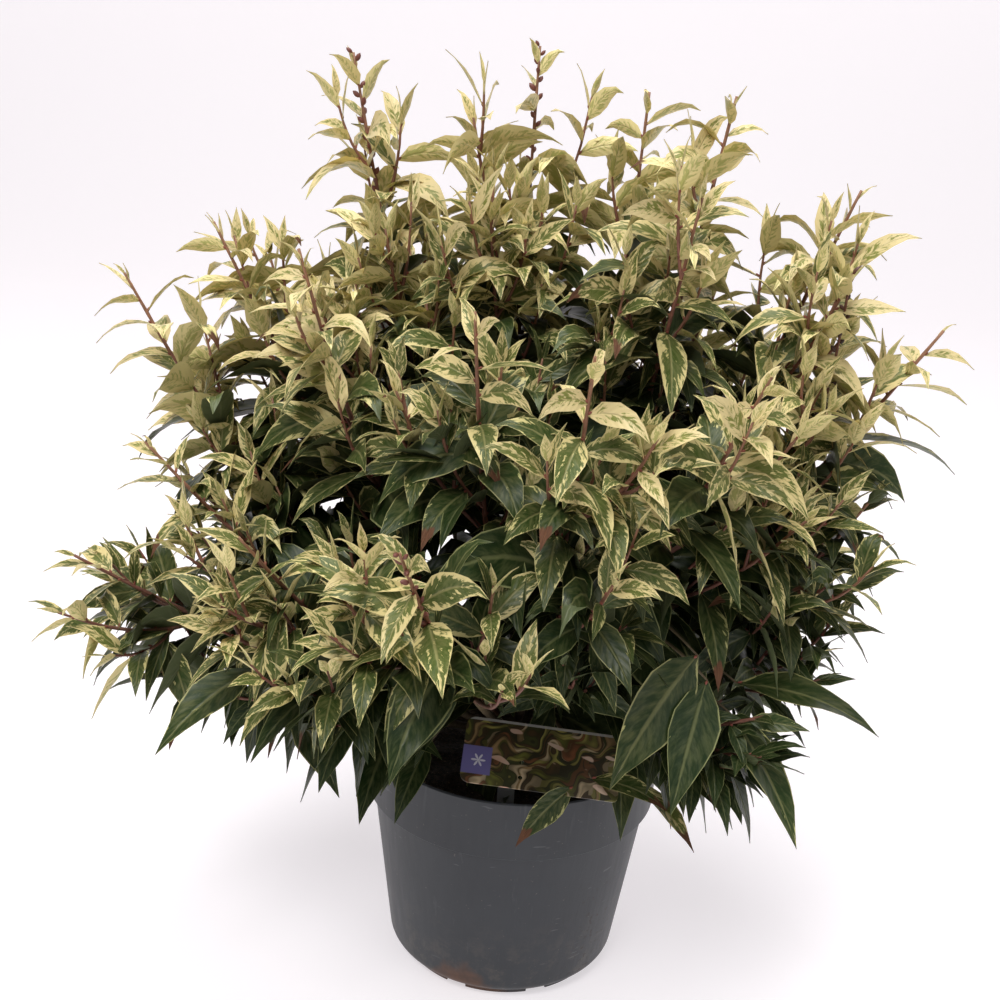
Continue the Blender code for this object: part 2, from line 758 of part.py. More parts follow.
def leaves_of(shoot, name, crown, chance, raceme):
    """Leaves of one shoot from its tip down by the seeded rule, and buds along a raceme."""
    whole = path_length(shoot)
    blades = []
    step = INNER_LEAF_STEP if name in INNER_LIMBS else LEAF_STEP
    count = int((whole - raceme) / step)
    turn = chance.uniform(0, 2 * math.pi)
    for k in range(count):
        back = raceme + step * (k + LEAF_FIRST)
        foot, heading = along(shoot, 1 - back / whole)
        aged = min(back / LEAF_GROWN_BY, 1.0)
        length = (LEAF_YOUNG + (LEAF_OLD - LEAF_YOUNG) * aged) * chance.uniform(*LEAF_SIZES)
        spread = LEAF_SPREAD_TIP + (LEAF_SPREAD - LEAF_SPREAD_TIP) * min(k / 3, 1.0)
        droop = chance.uniform(*LEAF_DROOP) + LEAF_DROOP_OLD * aged
        roll = chance.uniform(-LEAF_ROLL, LEAF_ROLL)
        for attempt in range(LEAF_TRIES):
            around = turn + GOLDEN_TURN * k + LEAF_TURN_ON * attempt * (-1) ** attempt
            across = any_across(heading, around)
            out = unit(heading * math.cos(spread) + across * math.sin(spread))
            size = length * LEAF_SMALLER ** attempt
            points = blade_points(foot, out, droop, size, LEAF_WIDTH, LEAF_THICK, LEAF_FOLD)
            points = roll_about(points, out, roll + outward_roll(points, out))
            if crown.clear_of_all(name, points):
                crown.keep(points)
                blades.append(points)
                break
    for k in range(int(raceme * BUD_SHARE / BUD_STEP)):
        foot, heading = along(shoot, 1 - BUD_STEP * (k + BUD_FIRST) / whole)
        across = any_across(heading, turn + GOLDEN_TURN * k)
        out = unit(heading + across * BUD_SPREAD)
        points = blade_points(foot, out, 0.0, BUD_LENGTH, BUD_WIDTH, BUD_WIDTH, 0.0)
        if crown.clear_of_all(name, points, bud=True):
            crown.keep(points)
            blades.append(points)
    return blades


def fuse(base, operands, group, material):
    """Join a mass's twigs, leaves and buds into its leading shoot with one union on a collection.

    Where neither solver gives one closed body, the last leaf is left out and both are tried again.
    """
    union = base.modifiers.new("Fuse", "BOOLEAN")
    union.operation = "UNION"
    union.operand_type = "COLLECTION"
    union.collection = operands
    name = base.name
    mesh = fused_mesh(base, union)
    while mesh is None and len(operands.objects) > 1:
        bpy.data.objects.remove(operands.objects[-1], do_unlink=True)
        mesh = fused_mesh(base, union)
    for item in list(operands.objects):
        bpy.data.objects.remove(item, do_unlink=True)
    bpy.data.collections.remove(operands)
    bpy.data.objects.remove(base, do_unlink=True)
    mesh.materials.clear()
    mesh.name = name
    return add_object(name, mesh, group, material)


def fused_mesh(base, union):
    """The applied union as one closed body, or None if neither solver gives one."""
    for solver in ("EXACT", "MANIFOLD"):
        union.solver = solver
        graph = bpy.context.evaluated_depsgraph_get()
        mesh = bpy.data.meshes.new_from_object(base.evaluated_get(graph))
        if keep_main_body(mesh):
            return mesh
        bpy.data.meshes.remove(mesh)
    return None


def keep_main_body(mesh):
    """Keep the largest body, without scraps or sealed hollows, and say whether it is closed."""
    work = bmesh.new()
    work.from_mesh(mesh)
    bmesh.ops.remove_doubles(work, verts=work.verts, dist=MERGE)
    bmesh.ops.triangulate(work, faces=work.faces)
    left = set(work.faces)
    bodies = []
    while left:
        body = [left.pop()]
        for face in body:
            for edge in face.edges:
                for other in edge.link_faces:
                    if other in left:
                        left.remove(other)
                        body.append(other)
        bodies.append(body)
    bodies.sort(key=len)
    for body in bodies[:-1]:
        bmesh.ops.delete(work, geom=body, context="FACES")
    loose = [vertex for vertex in work.verts if not vertex.link_faces]
    bmesh.ops.delete(work, geom=loose, context="VERTS")
    closed = all(len(edge.link_faces) == 2 for edge in work.edges)
    work.to_mesh(mesh)
    work.free()
    return closed


def make_canes(group, crown):
    """Canes from the short stem, each ending where its mass of foliage begins."""
    bark = finish("Bark", BARK, 0.85)
    for name, path in crown.canes.items():
        cane = tube("cane_" + name, path, CANE_FOOT_RADIUS, CANE_END_RADIUS, group)
        cane.data.materials.append(bark)
        crown.add_solid(cane)


def make_masses(group, crown):
    """All the twigs first, then the leaves, so that no leaf runs into another mass's twig."""
    ring = three_sided_ring()
    foliage = finish("Variegated leaf", LEAF_GREEN, 0.5)
    shoots = grow_shoots(crown)
    parts = {}
    for name, paths in shoots.items():
        operands = new_collection("fused_" + name)
        for k, path in enumerate(paths):
            first = k == 0
            thick = SHOOT_FOOT_RADIUS if first else SHOOT_FOOT_RADIUS * SIDE_THICK
            twig = tube("foliage_" + name if first else "twig", path, thick, SHOOT_TIP_RADIUS,
                        group if first else operands, ring)
            crown.add_solid(twig, name)
            if first:
                parts[name] = (twig, operands)
    for number, (name, paths) in enumerate(shoots.items()):
        chance = random.Random(LEAF_SEED + number)
        base, operands = parts[name]
        dry = len(paths) - 1 if name in DRY_RACEMES else None
        for k, path in enumerate(paths):
            raceme = RACEME_LENGTH if k == 0 and name in RACEMES else 0.0
            if k == dry:
                raceme = path_length(path)
            for blade in leaves_of(path, name, crown, chance, raceme):
                blade_object("leaf", blade, operands)
        fuse(base, operands, group, foliage)
    bpy.data.objects.remove(ring, do_unlink=True)


def main():
    clear_scene()
    group = new_collection("potted_drooping_laurel")
    cutters = new_collection("cutters")
    crown = Crown()
    crown.add_solid(make_pot(group, cutters))
    crown.add_solid(make_soil(group, cutters))
    crown.add_solid(make_short_stem(group))
    plate, stake = make_label(group)
    crown.add_solid(plate)
    crown.add_solid(stake)
    make_canes(group, crown)
    make_masses(group, crown)


if __name__ == "__main__":
    main()
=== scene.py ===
"""Looks of a potted drooping laurel with variegated leaves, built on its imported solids.

The limbs follow the source's rule, so every twig and leaf grows on from a solid
limb and keeps to the same reach. New surfaces are whole arrays of points, each a
function of two parameters that its docstring gives. Units are metres, +Z is up,
and the side that is seen first faces -Y.
"""

import math
import random

import bpy
import numpy as np
from mathutils import Matrix, Vector


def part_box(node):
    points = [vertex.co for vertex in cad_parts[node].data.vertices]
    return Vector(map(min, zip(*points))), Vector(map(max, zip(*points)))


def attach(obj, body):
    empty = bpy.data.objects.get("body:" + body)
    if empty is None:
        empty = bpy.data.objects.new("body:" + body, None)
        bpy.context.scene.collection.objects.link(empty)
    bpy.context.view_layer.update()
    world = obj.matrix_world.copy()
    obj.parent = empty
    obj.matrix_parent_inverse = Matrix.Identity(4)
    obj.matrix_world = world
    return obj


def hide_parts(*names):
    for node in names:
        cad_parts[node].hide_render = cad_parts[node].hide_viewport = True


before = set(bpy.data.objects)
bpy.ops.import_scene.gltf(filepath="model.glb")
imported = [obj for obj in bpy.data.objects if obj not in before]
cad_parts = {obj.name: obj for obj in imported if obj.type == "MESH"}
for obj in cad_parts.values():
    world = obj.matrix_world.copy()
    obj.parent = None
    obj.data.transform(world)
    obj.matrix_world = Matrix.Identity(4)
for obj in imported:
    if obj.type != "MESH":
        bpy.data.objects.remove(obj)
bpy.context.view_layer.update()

# The source's sizes of the short stem, canes and shoots
GAP = 0.0003
POT_RIM_Z = 0.1515
POT_WALL = 0.0016
POT_CORNER = 0.0070
POT_FLOOR = 0.0050
FOOT_RING = (0.0665, 0.0570)
CENTRE_FOOT = 0.0230
POT_STEPS = 128
NOTCHES = 8
NOTCH_WIDTH = 0.0130
DRAIN_HOLES = 8
DRAIN_RING = 0.0400
DRAIN_RADIUS = 0.0040
SOIL_TOP = 0.1400
STEM_RADIUS = 0.0230
STEM_FLARE = 0.0270
STEM_SHOULDER_Z = 0.1470
FOOT_TURN = 8
FOOT_LOWEST = 21
FOOT_APART = math.radians(17)
CANE_PULL = 0.52
CANE_SHARE = 0.31
LEADER_POINTS = 6
SHOOT_FORK = math.radians(48)
SHOOT_SHARE = 0.62
SHOOT_SHORTEST = 0.040
SHOOT_POINTS = 5
SIDE_SHOOTS = 3
SIDE_TRIES = 6
SIDE_FIRST = 0.06
SIDE_NEXT = 0.22
SIDE_STRAY = 0.08
SIDE_SIZES = (0.80, 1.05)
SIDE_SMALLER = 0.93
SIDE_FOLLOW = 0.45
SIDE_LIFT = 0.30
SIDE_PULL = 0.45
SIDE_PAST_TIP = 0.01
SIDE_ABOVE_RIM = 0.02
TWIG_APART = 0.0060
PAST_TIP_UP = 0.006
PAST_TIP_OUT = 0.026
SIDE_BELOW_TIP = 0.022
GOLDEN_TURN = math.radians(137.5)
LABEL_SIZE = (0.0900, 0.0400)
LABEL_THICK = 0.0008
LABEL_CENTRE = (0.0170, -0.0830, 0.1770)
LABEL_TILT = math.radians(38)
LABEL_ROLL = math.radians(4)

# Tip of each limb: azimuth in degrees from +X, reach and height, as in the source
LIMBS = {
    "left_outer": (185, 0.236, 0.428),
    "left_shoulder": (174, 0.196, 0.454),
    "left_mid": (209, 0.146, 0.455),
    "left_tall": (154, 0.135, 0.552),
    "centre_tall": (102, 0.061, 0.562),
    "centre_right": (56, 0.097, 0.540),
    "right_tall": (0, 0.096, 0.542),
    "right_shoulder": (4, 0.173, 0.496),
    "right_outer": (352, 0.220, 0.428),
    "right_side": (348, 0.199, 0.339),
    "right_low": (9, 0.200, 0.236),
    "front_right_low": (317, 0.180, 0.235),
    "front_right": (308, 0.177, 0.420),
    "front_centre": (279, 0.160, 0.428),
    "front_left": (255, 0.126, 0.438),
    "front_low": (255, 0.215, 0.345),
    "left_front": (227, 0.206, 0.325),
    "left_side": (198, 0.222, 0.345),
    "left_far": (196, 0.262, 0.277),
    "left_low": (203, 0.180, 0.195),
}
BACK_LIMBS = 5
BACK_FIRST = 28
BACK_STEP = 31
BACK_HIGH = (0.185, 0.430)
BACK_LOW = (0.215, 0.285)
INNER_LIMBS = {
    "inner_left": (238, 0.125, 0.315),
    "inner_right": (304, 0.120, 0.310),
    "inner_back": (70, 0.120, 0.310),
}
RACEMES = ("left_tall", "centre_tall", "front_low")
DRY_RACEMES = {"right_outer": (343, 0.167, 0.458)}

# Finer twigs that the shoots carry on to
FINE_STEP = 0.024
FINE_LENGTH = 0.048
FINE_BELOW_TIP = 0.010
FINE_POINTS = 5
FINE_FIRST = 0.9
FINE_LEAFY = 0.93
FINE_SPREAD = 0.85
FINE_FOLLOW = 0.35
FINE_LIFT = 0.65
FINE_SIZES = (0.7, 1.35)
FINE_PULL = 0.45
FINE_ABOVE_RIM = 0.012
FINE_PAST_TIP = 0.006
FINE_SHARED = 0.020
FINE_SEED = 900
BACK_CLOSER = 0.62
BACK_LONGER = 1.25

# Leaves: length at a tip and on old wood, spacing, and shape
LEAF_YOUNG = 0.026
LEAF_OLD = 0.078
LEAF_GROWN_BY = 0.130
LEAF_STEP = 0.0052
LEAF_STEP_OLD = 0.0115
LEAF_WIDTH = (0.29, 0.37)
LEAF_FOLD = 0.20
LEAF_THICK = 0.00045
LEAF_OUTWARD = 0.80
LEAF_SPREAD = math.radians(58)
LEAF_SPREAD_TIP = math.radians(30)
LEAF_ROWS = (6, 8)
LEAF_ACROSS = 5
ATLAS_INSET = 0.03
LEAF_SMALL = 0.044
LEAF_CLASSES = 6
ATLAS_COLUMNS = 6
ATLAS_ROWS = 8
BURNT_COLUMN = 5
BURNT_SHARE = 0.045
LEAF_FIRST = 0.0012
LEAFY_SHARE = 0.985
LEAF_TURN_STRAY = 0.35
LEAF_SPREAD_STRAY = (0.75, 1.25)
LEAF_STEP_STRAY = (0.8, 1.2)
LEAF_CURL = (0.1, 0.7)
BURNT_CURL = 0.8
LEAF_SIZES = (0.82, 1.15)
LEAF_DROOP = (0.05, 1.15)
LEAF_DROOP_OLD = 0.55
LEAF_ROLL = 0.85
LEAF_TRIES = 4
LEAF_SMALLER = 0.82
LEAF_BELOW_RIM = 0.045
BARE_WIDER = 1.5

# A shoot's first leaves stand in a tuft: smaller, closer to the twig and less drooping
TUFT_STEP = 0.2
TUFT_SIZE = 0.60
TUFT_SPREAD = 0.35
TUFT_DROOP = 0.10
TUFT_LEAVES = 4

# How much darker a leaf is by age, by its spray and by chance, and by how low and deep it sits: for depth
# painted shade inside the crown, for lowness partly painted shade under the crown and partly darker low
# growth
DARK_START = -0.27
DARK_BY_AGE = 0.58
DARK_AND_SHADE_BY_LOWNESS = 1.05
SHADE_BY_DEPTH = 0.70
DARK_BY_SPRAY = 0.072
DARK_BY_CHANCE = 0.14
CROWN_RISE = 0.38
CROWN_CENTRE = np.array((0.0, 0.0, 0.300))
CROWN_HALF = np.array((0.245, 0.215, 0.265))

# Sprays that are darker or paler than their age and height alone would make them; the inner sprays' extra
# darkness is painted shade inside the crown
SPRAY_TONES_AND_SHADE = {
    "front_right_low": 0.34,
    "right_low": 0.26,
    "right_side": 0.10,
    "inner_right": 0.30,
    "inner_left": 0.10,
    "left_front": -0.05,
    "left_far": -0.10,
    "left_low": 0.06,
    "front_low": -0.05,
    "left_side": -0.12,
    "left_outer": -0.10,
    "left_shoulder": -0.10,
    "left_mid": -0.10,
}

# Single leaves that hang over the pot's rim on short low twigs: foot, tip, class, burnt or not
RIM_LEAVES = (
    ((0.036, -0.094, 0.167), (0.010, -0.116, 0.141), 4, True),
    ((0.046, -0.090, 0.171), (0.084, -0.108, 0.164), 3, True),
    ((-0.048, -0.080, 0.180), (-0.060, -0.106, 0.146), 5, False),
    ((-0.080, -0.074, 0.186), (-0.042, -0.098, 0.180), 5, False),
    ((0.072, -0.076, 0.163), (0.101, -0.104, 0.138), 1, True),
    ((0.098, -0.082, 0.190), (0.112, -0.104, 0.166), 2, True),
    ((0.094, -0.112, 0.262), (0.058, -0.152, 0.206), 4, False),
    ((0.100, -0.116, 0.250), (0.086, -0.152, 0.196), 5, False),
    ((0.120, -0.092, 0.238), (0.186, -0.118, 0.224), 4, False),
    ((0.118, -0.098, 0.222), (0.147, -0.132, 0.168), 4, False),
    ((-0.125, -0.088, 0.200), (-0.097, -0.120, 0.167), 4, False),
    ((-0.140, -0.112, 0.236), (-0.178, -0.146, 0.200), 4, False),
)
RIM_LEAF_DROOP = 0.5
RIM_LEAF_RISE = 0.7
RIM_LEAF_BEND = 1.12
RIM_TWIG_REACH = 0.055
RIM_TWIG_RISE = 0.012

# The eye of the front view, which the camera and the label's clear sight share
EYE = (0.0, -0.73996, 0.55289)
SIGHT_BESIDE = 0.004
SIGHT_UPRIGHT = 0.001
SIGHT_BEHIND = 0.002

# Bark and buds
CANE_RADIUS = (0.0026, 0.0020)
LEADER_RADIUS = (0.0020, 0.0008)
SIDE_RADIUS = (0.0015, 0.0007)
FINE_RADIUS = (0.0011, 0.0006)
RACEME_LENGTH = 0.085
LOW_LIMB_Z = 0.300
LOW_LIMBS_OLDER = 0.10
BUD_STEP = 0.0050
BUD_LENGTH = 0.0056
BRACT_LENGTH = 0.0036
BUD_ROWS = 5
BUD_SIDES = 6
BUD_SEED = 77
LEAF_SEED = 500
RIM_SEED = 31
OLD_WOOD = 0.28


# Vectors and paths, as in the source


def polar(azimuth, reach, height):
    """A point from its azimuth in degrees, its reach and its height."""
    turn = math.radians(azimuth)
    return np.array((reach * math.cos(turn), reach * math.sin(turn), height))


def limb_tips():
    """Every limb's name and its tip, from the three tables of the crown."""
    table = dict(LIMBS)
    for k in range(BACK_LIMBS):
        reach, height = BACK_LOW if k % 2 == 0 else BACK_HIGH
        table["back_%d" % (k + 1)] = (BACK_FIRST + BACK_STEP * k, reach, height)
    table.update(INNER_LIMBS)
    return {name: polar(*place) for name, place in table.items()}


def unit(vector):
    """The vector, or each vector of an array, at length 1."""
    return vector / np.linalg.norm(vector, axis=-1, keepdims=True)


def foot_headings(tips):
    """The way each limb leaves the stem: towards its tip, lower at first, and spread apart."""
    centre = np.array((0.0, 0.0, STEM_SHOULDER_Z))
    headings = []
    for tip in tips:
        rise = math.degrees(math.atan2(tip[2] - centre[2], math.hypot(tip[0], tip[1])))
        rise = math.radians(max(rise - FOOT_TURN, FOOT_LOWEST))
        level = unit(np.array((tip[0], tip[1], 0.0)))
        headings.append(level * math.cos(rise) + np.array((0.0, 0.0, math.sin(rise))))
    headings = np.array(headings)
    lowest = math.sin(math.radians(FOOT_LOWEST * 0.6))
    for _ in range(200):
        cosines = np.clip(headings @ headings.T, -1.0, 1.0)
        apart = np.arccos(cosines)
        push = np.maximum(FOOT_APART - apart, 0.0)
        np.fill_diagonal(push, 0.0)
        away = headings[:, None, :] - headings[None, :, :]
        size = np.linalg.norm(away, axis=2, keepdims=True) + 1e-9
        headings = headings + 0.5 * (push[:, :, None] * away / size).sum(axis=1)
        headings[:, 2] = np.maximum(headings[:, 2], lowest)
        headings /= np.linalg.norm(headings, axis=1, keepdims=True)
    return headings


def bend(start, heading, end, pull, count):
    """A quadratic curve that leaves start along heading and ends at end, as count points."""
    corner = start + heading * pull * np.linalg.norm(end - start)
    t = np.linspace(0.0, 1.0, count)[:, None]
    return (1 - t) ** 2 * start + 2 * t * (1 - t) * corner + t ** 2 * end


def along(path, share):
    """The point and direction at a share of a path's length."""
    steps = np.linalg.norm(np.diff(path, axis=0), axis=1)
    runs = np.concatenate(([0.0], np.cumsum(steps)))
    place = share * runs[-1]
    k = min(int(np.searchsorted(runs, place, side="right")) - 1, len(steps) - 1)
    part = (place - runs[k]) / steps[k]
    point = path[k] + part * (path[k + 1] - path[k])
    return point, unit(path[k + 1] - path[k])


def stretch(path, first, last, count):
    """Evenly spaced points of a path between two shares of its length."""
    return np.array([along(path, first + (last - first) * k / (count - 1))[0] for k in range(count)])


def path_length(path):
    """A path's length."""
    return float(np.linalg.norm(np.diff(path, axis=0), axis=1).sum())


def nearest(points, path):
    """Least distance from each point to a path's sample points."""
    gaps = points[:, None, :] - path[None, :, :]
    return np.sqrt((gaps ** 2).sum(axis=2)).min(axis=1)


def any_across(heading, turn):
    """A unit vector at right angles to heading, turned round it from the level one."""
    up = np.array((0.0, 0.0, 1.0)) if abs(heading[2]) < 0.95 else np.array((1.0, 0.0, 0.0))
    level = unit(np.cross(up, heading))
    return level * math.cos(turn) + np.cross(heading, level) * math.sin(turn)


def label_samples():
    """Points over the leaning label, less than a twig's clearance apart."""
    across = np.linspace(-LABEL_SIZE[0] / 2, LABEL_SIZE[0] / 2, 19)
    up = np.linspace(-LABEL_SIZE[1] / 2, LABEL_SIZE[1] / 2, 10)
    x, t = (grid.ravel() for grid in np.meshgrid(across, up))
    y = LABEL_CENTRE[1] + t * math.cos(LABEL_TILT)
    z = LABEL_CENTRE[2] + t * math.sin(LABEL_TILT) - x * math.tan(LABEL_ROLL)
    return np.stack((LABEL_CENTRE[0] + x, y, z), axis=1)


class Crown:
    """The paths of all limbs, shoots and twigs, by the source's seeded rule and carried on from it."""

    def __init__(self):
        tips = limb_tips()
        headings = dict(zip(tips, foot_headings(list(tips.values()))))
        centre = np.array((0.0, 0.0, STEM_SHOULDER_Z))
        self.canes = {}
        self.leaders = {}
        for name, tip in tips.items():
            foot = centre + headings[name] * (STEM_RADIUS + GAP)
            whole = bend(foot, headings[name], tip, CANE_PULL, 25)
            if name in INNER_LIMBS:
                self.leaders[name] = stretch(whole, 0.0, 1.0, LEADER_POINTS)
            else:
                mass_foot = CANE_SHARE + GAP / path_length(whole)
                self.canes[name] = stretch(whole, 0.0, CANE_SHARE, 24)
                self.leaders[name] = stretch(whole, mass_foot, 1.0, LEADER_POINTS)
        self.samples = {name: stretch(path, 0.0, 1.0, 9) for name, path in self.leaders.items()}
        self.shoots = {}
        self.dry = []
        self.grow_shoots()
        self.fine = {}
        self.grow_fine_twigs()

    def holds(self, name, points, shared):
        """True if every point is in the named mass's space, or past its edge by less than shared."""
        own = nearest(points, self.samples[name])
        others = np.concatenate([path for key, path in self.samples.items() if key != name])
        return bool((own - nearest(points, others) < 2 * shared).all())

    def side_shoots(self, leader, name, chance):
        """Side shoots of a leading shoot by the source's rule; one that would leave the space is skipped."""
        shoots = []
        whole = path_length(leader)
        turn = chance.uniform(0, 2 * math.pi)
        for k in range(SIDE_SHOOTS):
            for attempt in range(SIDE_TRIES):
                foot, heading = along(leader, SIDE_FIRST + SIDE_NEXT * k + chance.uniform(0.0, SIDE_STRAY))
                across = any_across(heading, turn + math.pi * k + attempt * GOLDEN_TURN)
                start = unit(heading * math.cos(SHOOT_FORK) + across * math.sin(SHOOT_FORK))
                final = unit(start + SIDE_FOLLOW * heading + np.array((0.0, 0.0, SIDE_LIFT)))
                reach = whole * SHOOT_SHARE * chance.uniform(*SIDE_SIZES) * SIDE_SMALLER ** attempt
                shoot = bend(foot, start, foot + final * reach, SIDE_PULL, SHOOT_POINTS)
                if reach < SHOOT_SHORTEST:
                    continue
                tip = leader[-1]
                below = shoot[-1][2] < tip[2] - SIDE_BELOW_TIP
                above = shoot[-1][2] > POT_RIM_Z + SIDE_ABOVE_RIM
                inside = math.hypot(shoot[-1][0], shoot[-1][1]) < math.hypot(tip[0], tip[1]) + SIDE_PAST_TIP
                if below and above and inside and self.holds(name, shoot[2:], 0.0):
                    shoots.append(shoot)
                    break
        return shoots

    def grow_shoots(self):
        """Every mass's leading shoot and its side shoots; a twig too near another is skipped."""
        taken = [stretch(path, 0.0, 1.0, 14) for path in self.leaders.values()]
        taken += [stretch(path, 0.0, 1.0, 14) for path in self.canes.values()]
        taken.append(label_samples())
        for number, (name, leader) in enumerate(self.leaders.items()):
            chance = random.Random(100 + number)
            found = [leader]
            for shoot in self.side_shoots(leader, name, chance):
                free = stretch(shoot, 0.18, 1.0, 12)
                if nearest(free, np.concatenate(taken)).min() > TWIG_APART:
                    found.append(shoot)
                    taken.append(free)
            if name in DRY_RACEMES:
                foot, heading = along(leader, 0.45)
                end = polar(*DRY_RACEMES[name])
                self.dry.append(bend(foot, unit(heading + unit(end - foot)), end, 0.3, SHOOT_POINTS))
                taken.append(stretch(self.dry[-1], 0.18, 1.0, 12))
            self.shoots[name] = found

    def grow_fine_twigs(self):
        """Short twigs all along the shoots, each within its mass's reach and mostly in its space."""
        for number, (name, paths) in enumerate(self.shoots.items()):
            chance = random.Random(FINE_SEED + number)
            tip = self.leaders[name][-1]
            behind = name.startswith("back")
            step = FINE_STEP * (BACK_CLOSER if behind else 1.0)
            longest = FINE_LENGTH * (BACK_LONGER if behind else 1.0)
            self.fine[name] = []
            for path in paths:
                whole = path_length(path)
                turn = chance.uniform(0, 2 * math.pi)
                for k in range(int(whole / step)):
                    back = step * (k + FINE_FIRST)
                    if back > whole * FINE_LEAFY:
                        continue
                    foot, heading = along(path, 1 - back / whole)
                    across = any_across(heading, turn + GOLDEN_TURN * k)
                    start = unit(heading + across * FINE_SPREAD)
                    final = unit(start + FINE_FOLLOW * heading + np.array((0.0, 0.0, FINE_LIFT)))
                    reach = longest * chance.uniform(*FINE_SIZES) * (0.75 + 0.25 * min(k, 3))
                    twig = bend(foot, start, foot + final * reach, FINE_PULL, FINE_POINTS)
                    end = twig[-1]
                    low = POT_RIM_Z + FINE_ABOVE_RIM < end[2] < tip[2] - FINE_BELOW_TIP
                    inside = math.hypot(end[0], end[1]) < math.hypot(tip[0], tip[1]) + FINE_PAST_TIP
                    own = low and inside and self.holds(name, twig[-1:], FINE_SHARED)
                    if own and not hides_label(twig[1:]):
                        self.fine[name].append(twig)


# Meshes from arrays


def grid_faces(rows, columns, closed=False):
    """Four-sided faces of a grid of rows x columns points, closed round its columns if asked."""
    wide = columns if closed else columns - 1
    r, c = (part.ravel() for part in np.meshgrid(np.arange(rows - 1), np.arange(wide), indexing="ij"))
    ahead = (c + 1) % columns
    first = r * columns
    second = first + columns
    return np.stack((first + c, first + ahead, second + ahead, second + c), 1)


def repeated(faces, count, points_each):
    """The faces of one shape for count copies whose points follow each other."""
    offsets = (np.arange(count) * points_each)[:, None, None]
    return (faces[None, :, :] + offsets).reshape(-1, faces.shape[1])


def make_piece(name, points, faces, material, uv=None):
    """A mesh object from points (n, 3), faces (m, 4) and one UV point for each mesh point."""
    mesh = bpy.data.meshes.new(name)
    mesh.vertices.add(len(points))
    mesh.vertices.foreach_set("co", np.asarray(points, np.float32).ravel())
    mesh.loops.add(faces.size)
    mesh.loops.foreach_set("vertex_index", faces.astype(np.int32).ravel())
    mesh.polygons.add(len(faces))
    mesh.polygons.foreach_set("loop_start", np.arange(0, faces.size, faces.shape[1], dtype=np.int32))
    mesh.update(calc_edges=True)
    mesh.polygons.foreach_set("use_smooth", np.full(len(faces), True))
    if uv is not None:
        layer = mesh.uv_layers.new(name="OFBake")
        layer.data.foreach_set("uv", np.asarray(uv, np.float32)[faces.ravel()].ravel())
    mesh.materials.append(material)
    item = bpy.data.objects.new(name, mesh)
    bpy.context.scene.collection.objects.link(item)
    return item


def ripple(points, scale, seed, waves=7):
    """Smooth noise from -1 to 1: the mean of waves plane sines sin(k.p + phase) with seeded k."""
    draw = np.random.default_rng(seed)
    total = np.zeros(points.shape[:-1])
    for _ in range(waves):
        direction = unit(draw.normal(size=3)) * scale * draw.uniform(0.6, 1.7)
        total += np.sin(points @ direction + draw.uniform(0, 2 * math.pi))
    return total / math.sqrt(waves) / 1.4


def tubes(paths, radii, sides, relief, seed, ages):
    """Tapering tubes along paths, as points (tubes, rows, sides, 3), and their UVs.

    P(i, a) = path(i) + r(i, a) (N cos a + B sin a), r = r0 (1 + relief (noise + swelling at each node)),
    where N is one cross direction for the whole path and B = T x N. V is the age given for each row.
    """
    tangents = unit(np.gradient(paths, axis=1))
    first = tangents[:, 0]
    guide = np.cross(first, np.array((0.31, 0.17, 0.93)))
    normal = unit(guide[:, None, :] - (tangents * guide[:, None, :]).sum(-1, keepdims=True) * tangents)
    side = np.cross(tangents, normal)
    angle = np.linspace(0, 2 * math.pi, sides, endpoint=False)
    ring = normal[:, :, None, :] * np.cos(angle)[:, None] + side[:, :, None, :] * np.sin(angle)[:, None]
    share = np.linspace(0, 1, paths.shape[1])
    base = radii[:, :1] + (radii[:, 1:] - radii[:, :1]) * share
    rough = ripple(ring * base.mean() + paths[:, :, None, :], 900.0, seed) * 0.6
    runs = np.concatenate((np.zeros((len(paths), 1)),
                           np.cumsum(np.linalg.norm(np.diff(paths, axis=1), axis=2), axis=1)), axis=1)
    swelling = np.maximum(np.sin(runs * 2 * math.pi / LEAF_STEP), 0.0) ** 6
    radius = base[:, :, None] * (1 + relief * (rough + swelling[:, :, None]))
    points = paths[:, :, None, :] + ring * radius[..., None]
    u = np.broadcast_to(angle / (2 * math.pi), radius.shape)
    v = np.broadcast_to(ages[:, :, None], radius.shape)
    return points, np.stack((u, v), axis=-1)


def tube_piece(name, groups, sides, material, relief, seed):
    """One piece of many tubes; a group is (paths, radii, ages) with as many points on each path."""
    points, faces, uvs = [], [], []
    offset = 0
    for number, (paths, radii, ages) in enumerate(groups):
        grid, uv = tubes(np.array(paths), np.array(radii), sides, relief, seed + number, np.array(ages))
        count, rows = grid.shape[:2]
        last = grid[:, -1].mean(axis=1, keepdims=True)
        closed = np.concatenate((grid.reshape(count, -1, 3), last), axis=1)
        tip_uv = uv[:, -1, :1]
        closed_uv = np.concatenate((uv.reshape(count, -1, 2), tip_uv), axis=1)
        side = grid_faces(rows, sides, closed=True)
        ring = (rows - 1) * sides + np.arange(sides)
        ahead = (rows - 1) * sides + (np.arange(sides) + 1) % sides
        cap = np.stack((ring, ahead, np.full(sides, rows * sides), np.full(sides, rows * sides)), 1)
        every = repeated(side, count, rows * sides + 1) + offset
        caps = repeated(cap, count, rows * sides + 1) + offset
        faces.append((every, caps))
        points.append(closed.reshape(-1, 3))
        uvs.append(closed_uv.reshape(-1, 2))
        offset += count * (rows * sides + 1)
    quads = np.concatenate([every for every, _ in faces])
    tips = np.concatenate([caps for _, caps in faces])[:, :3]
    return mixed_piece(name, np.concatenate(points), quads, tips, material, np.concatenate(uvs))


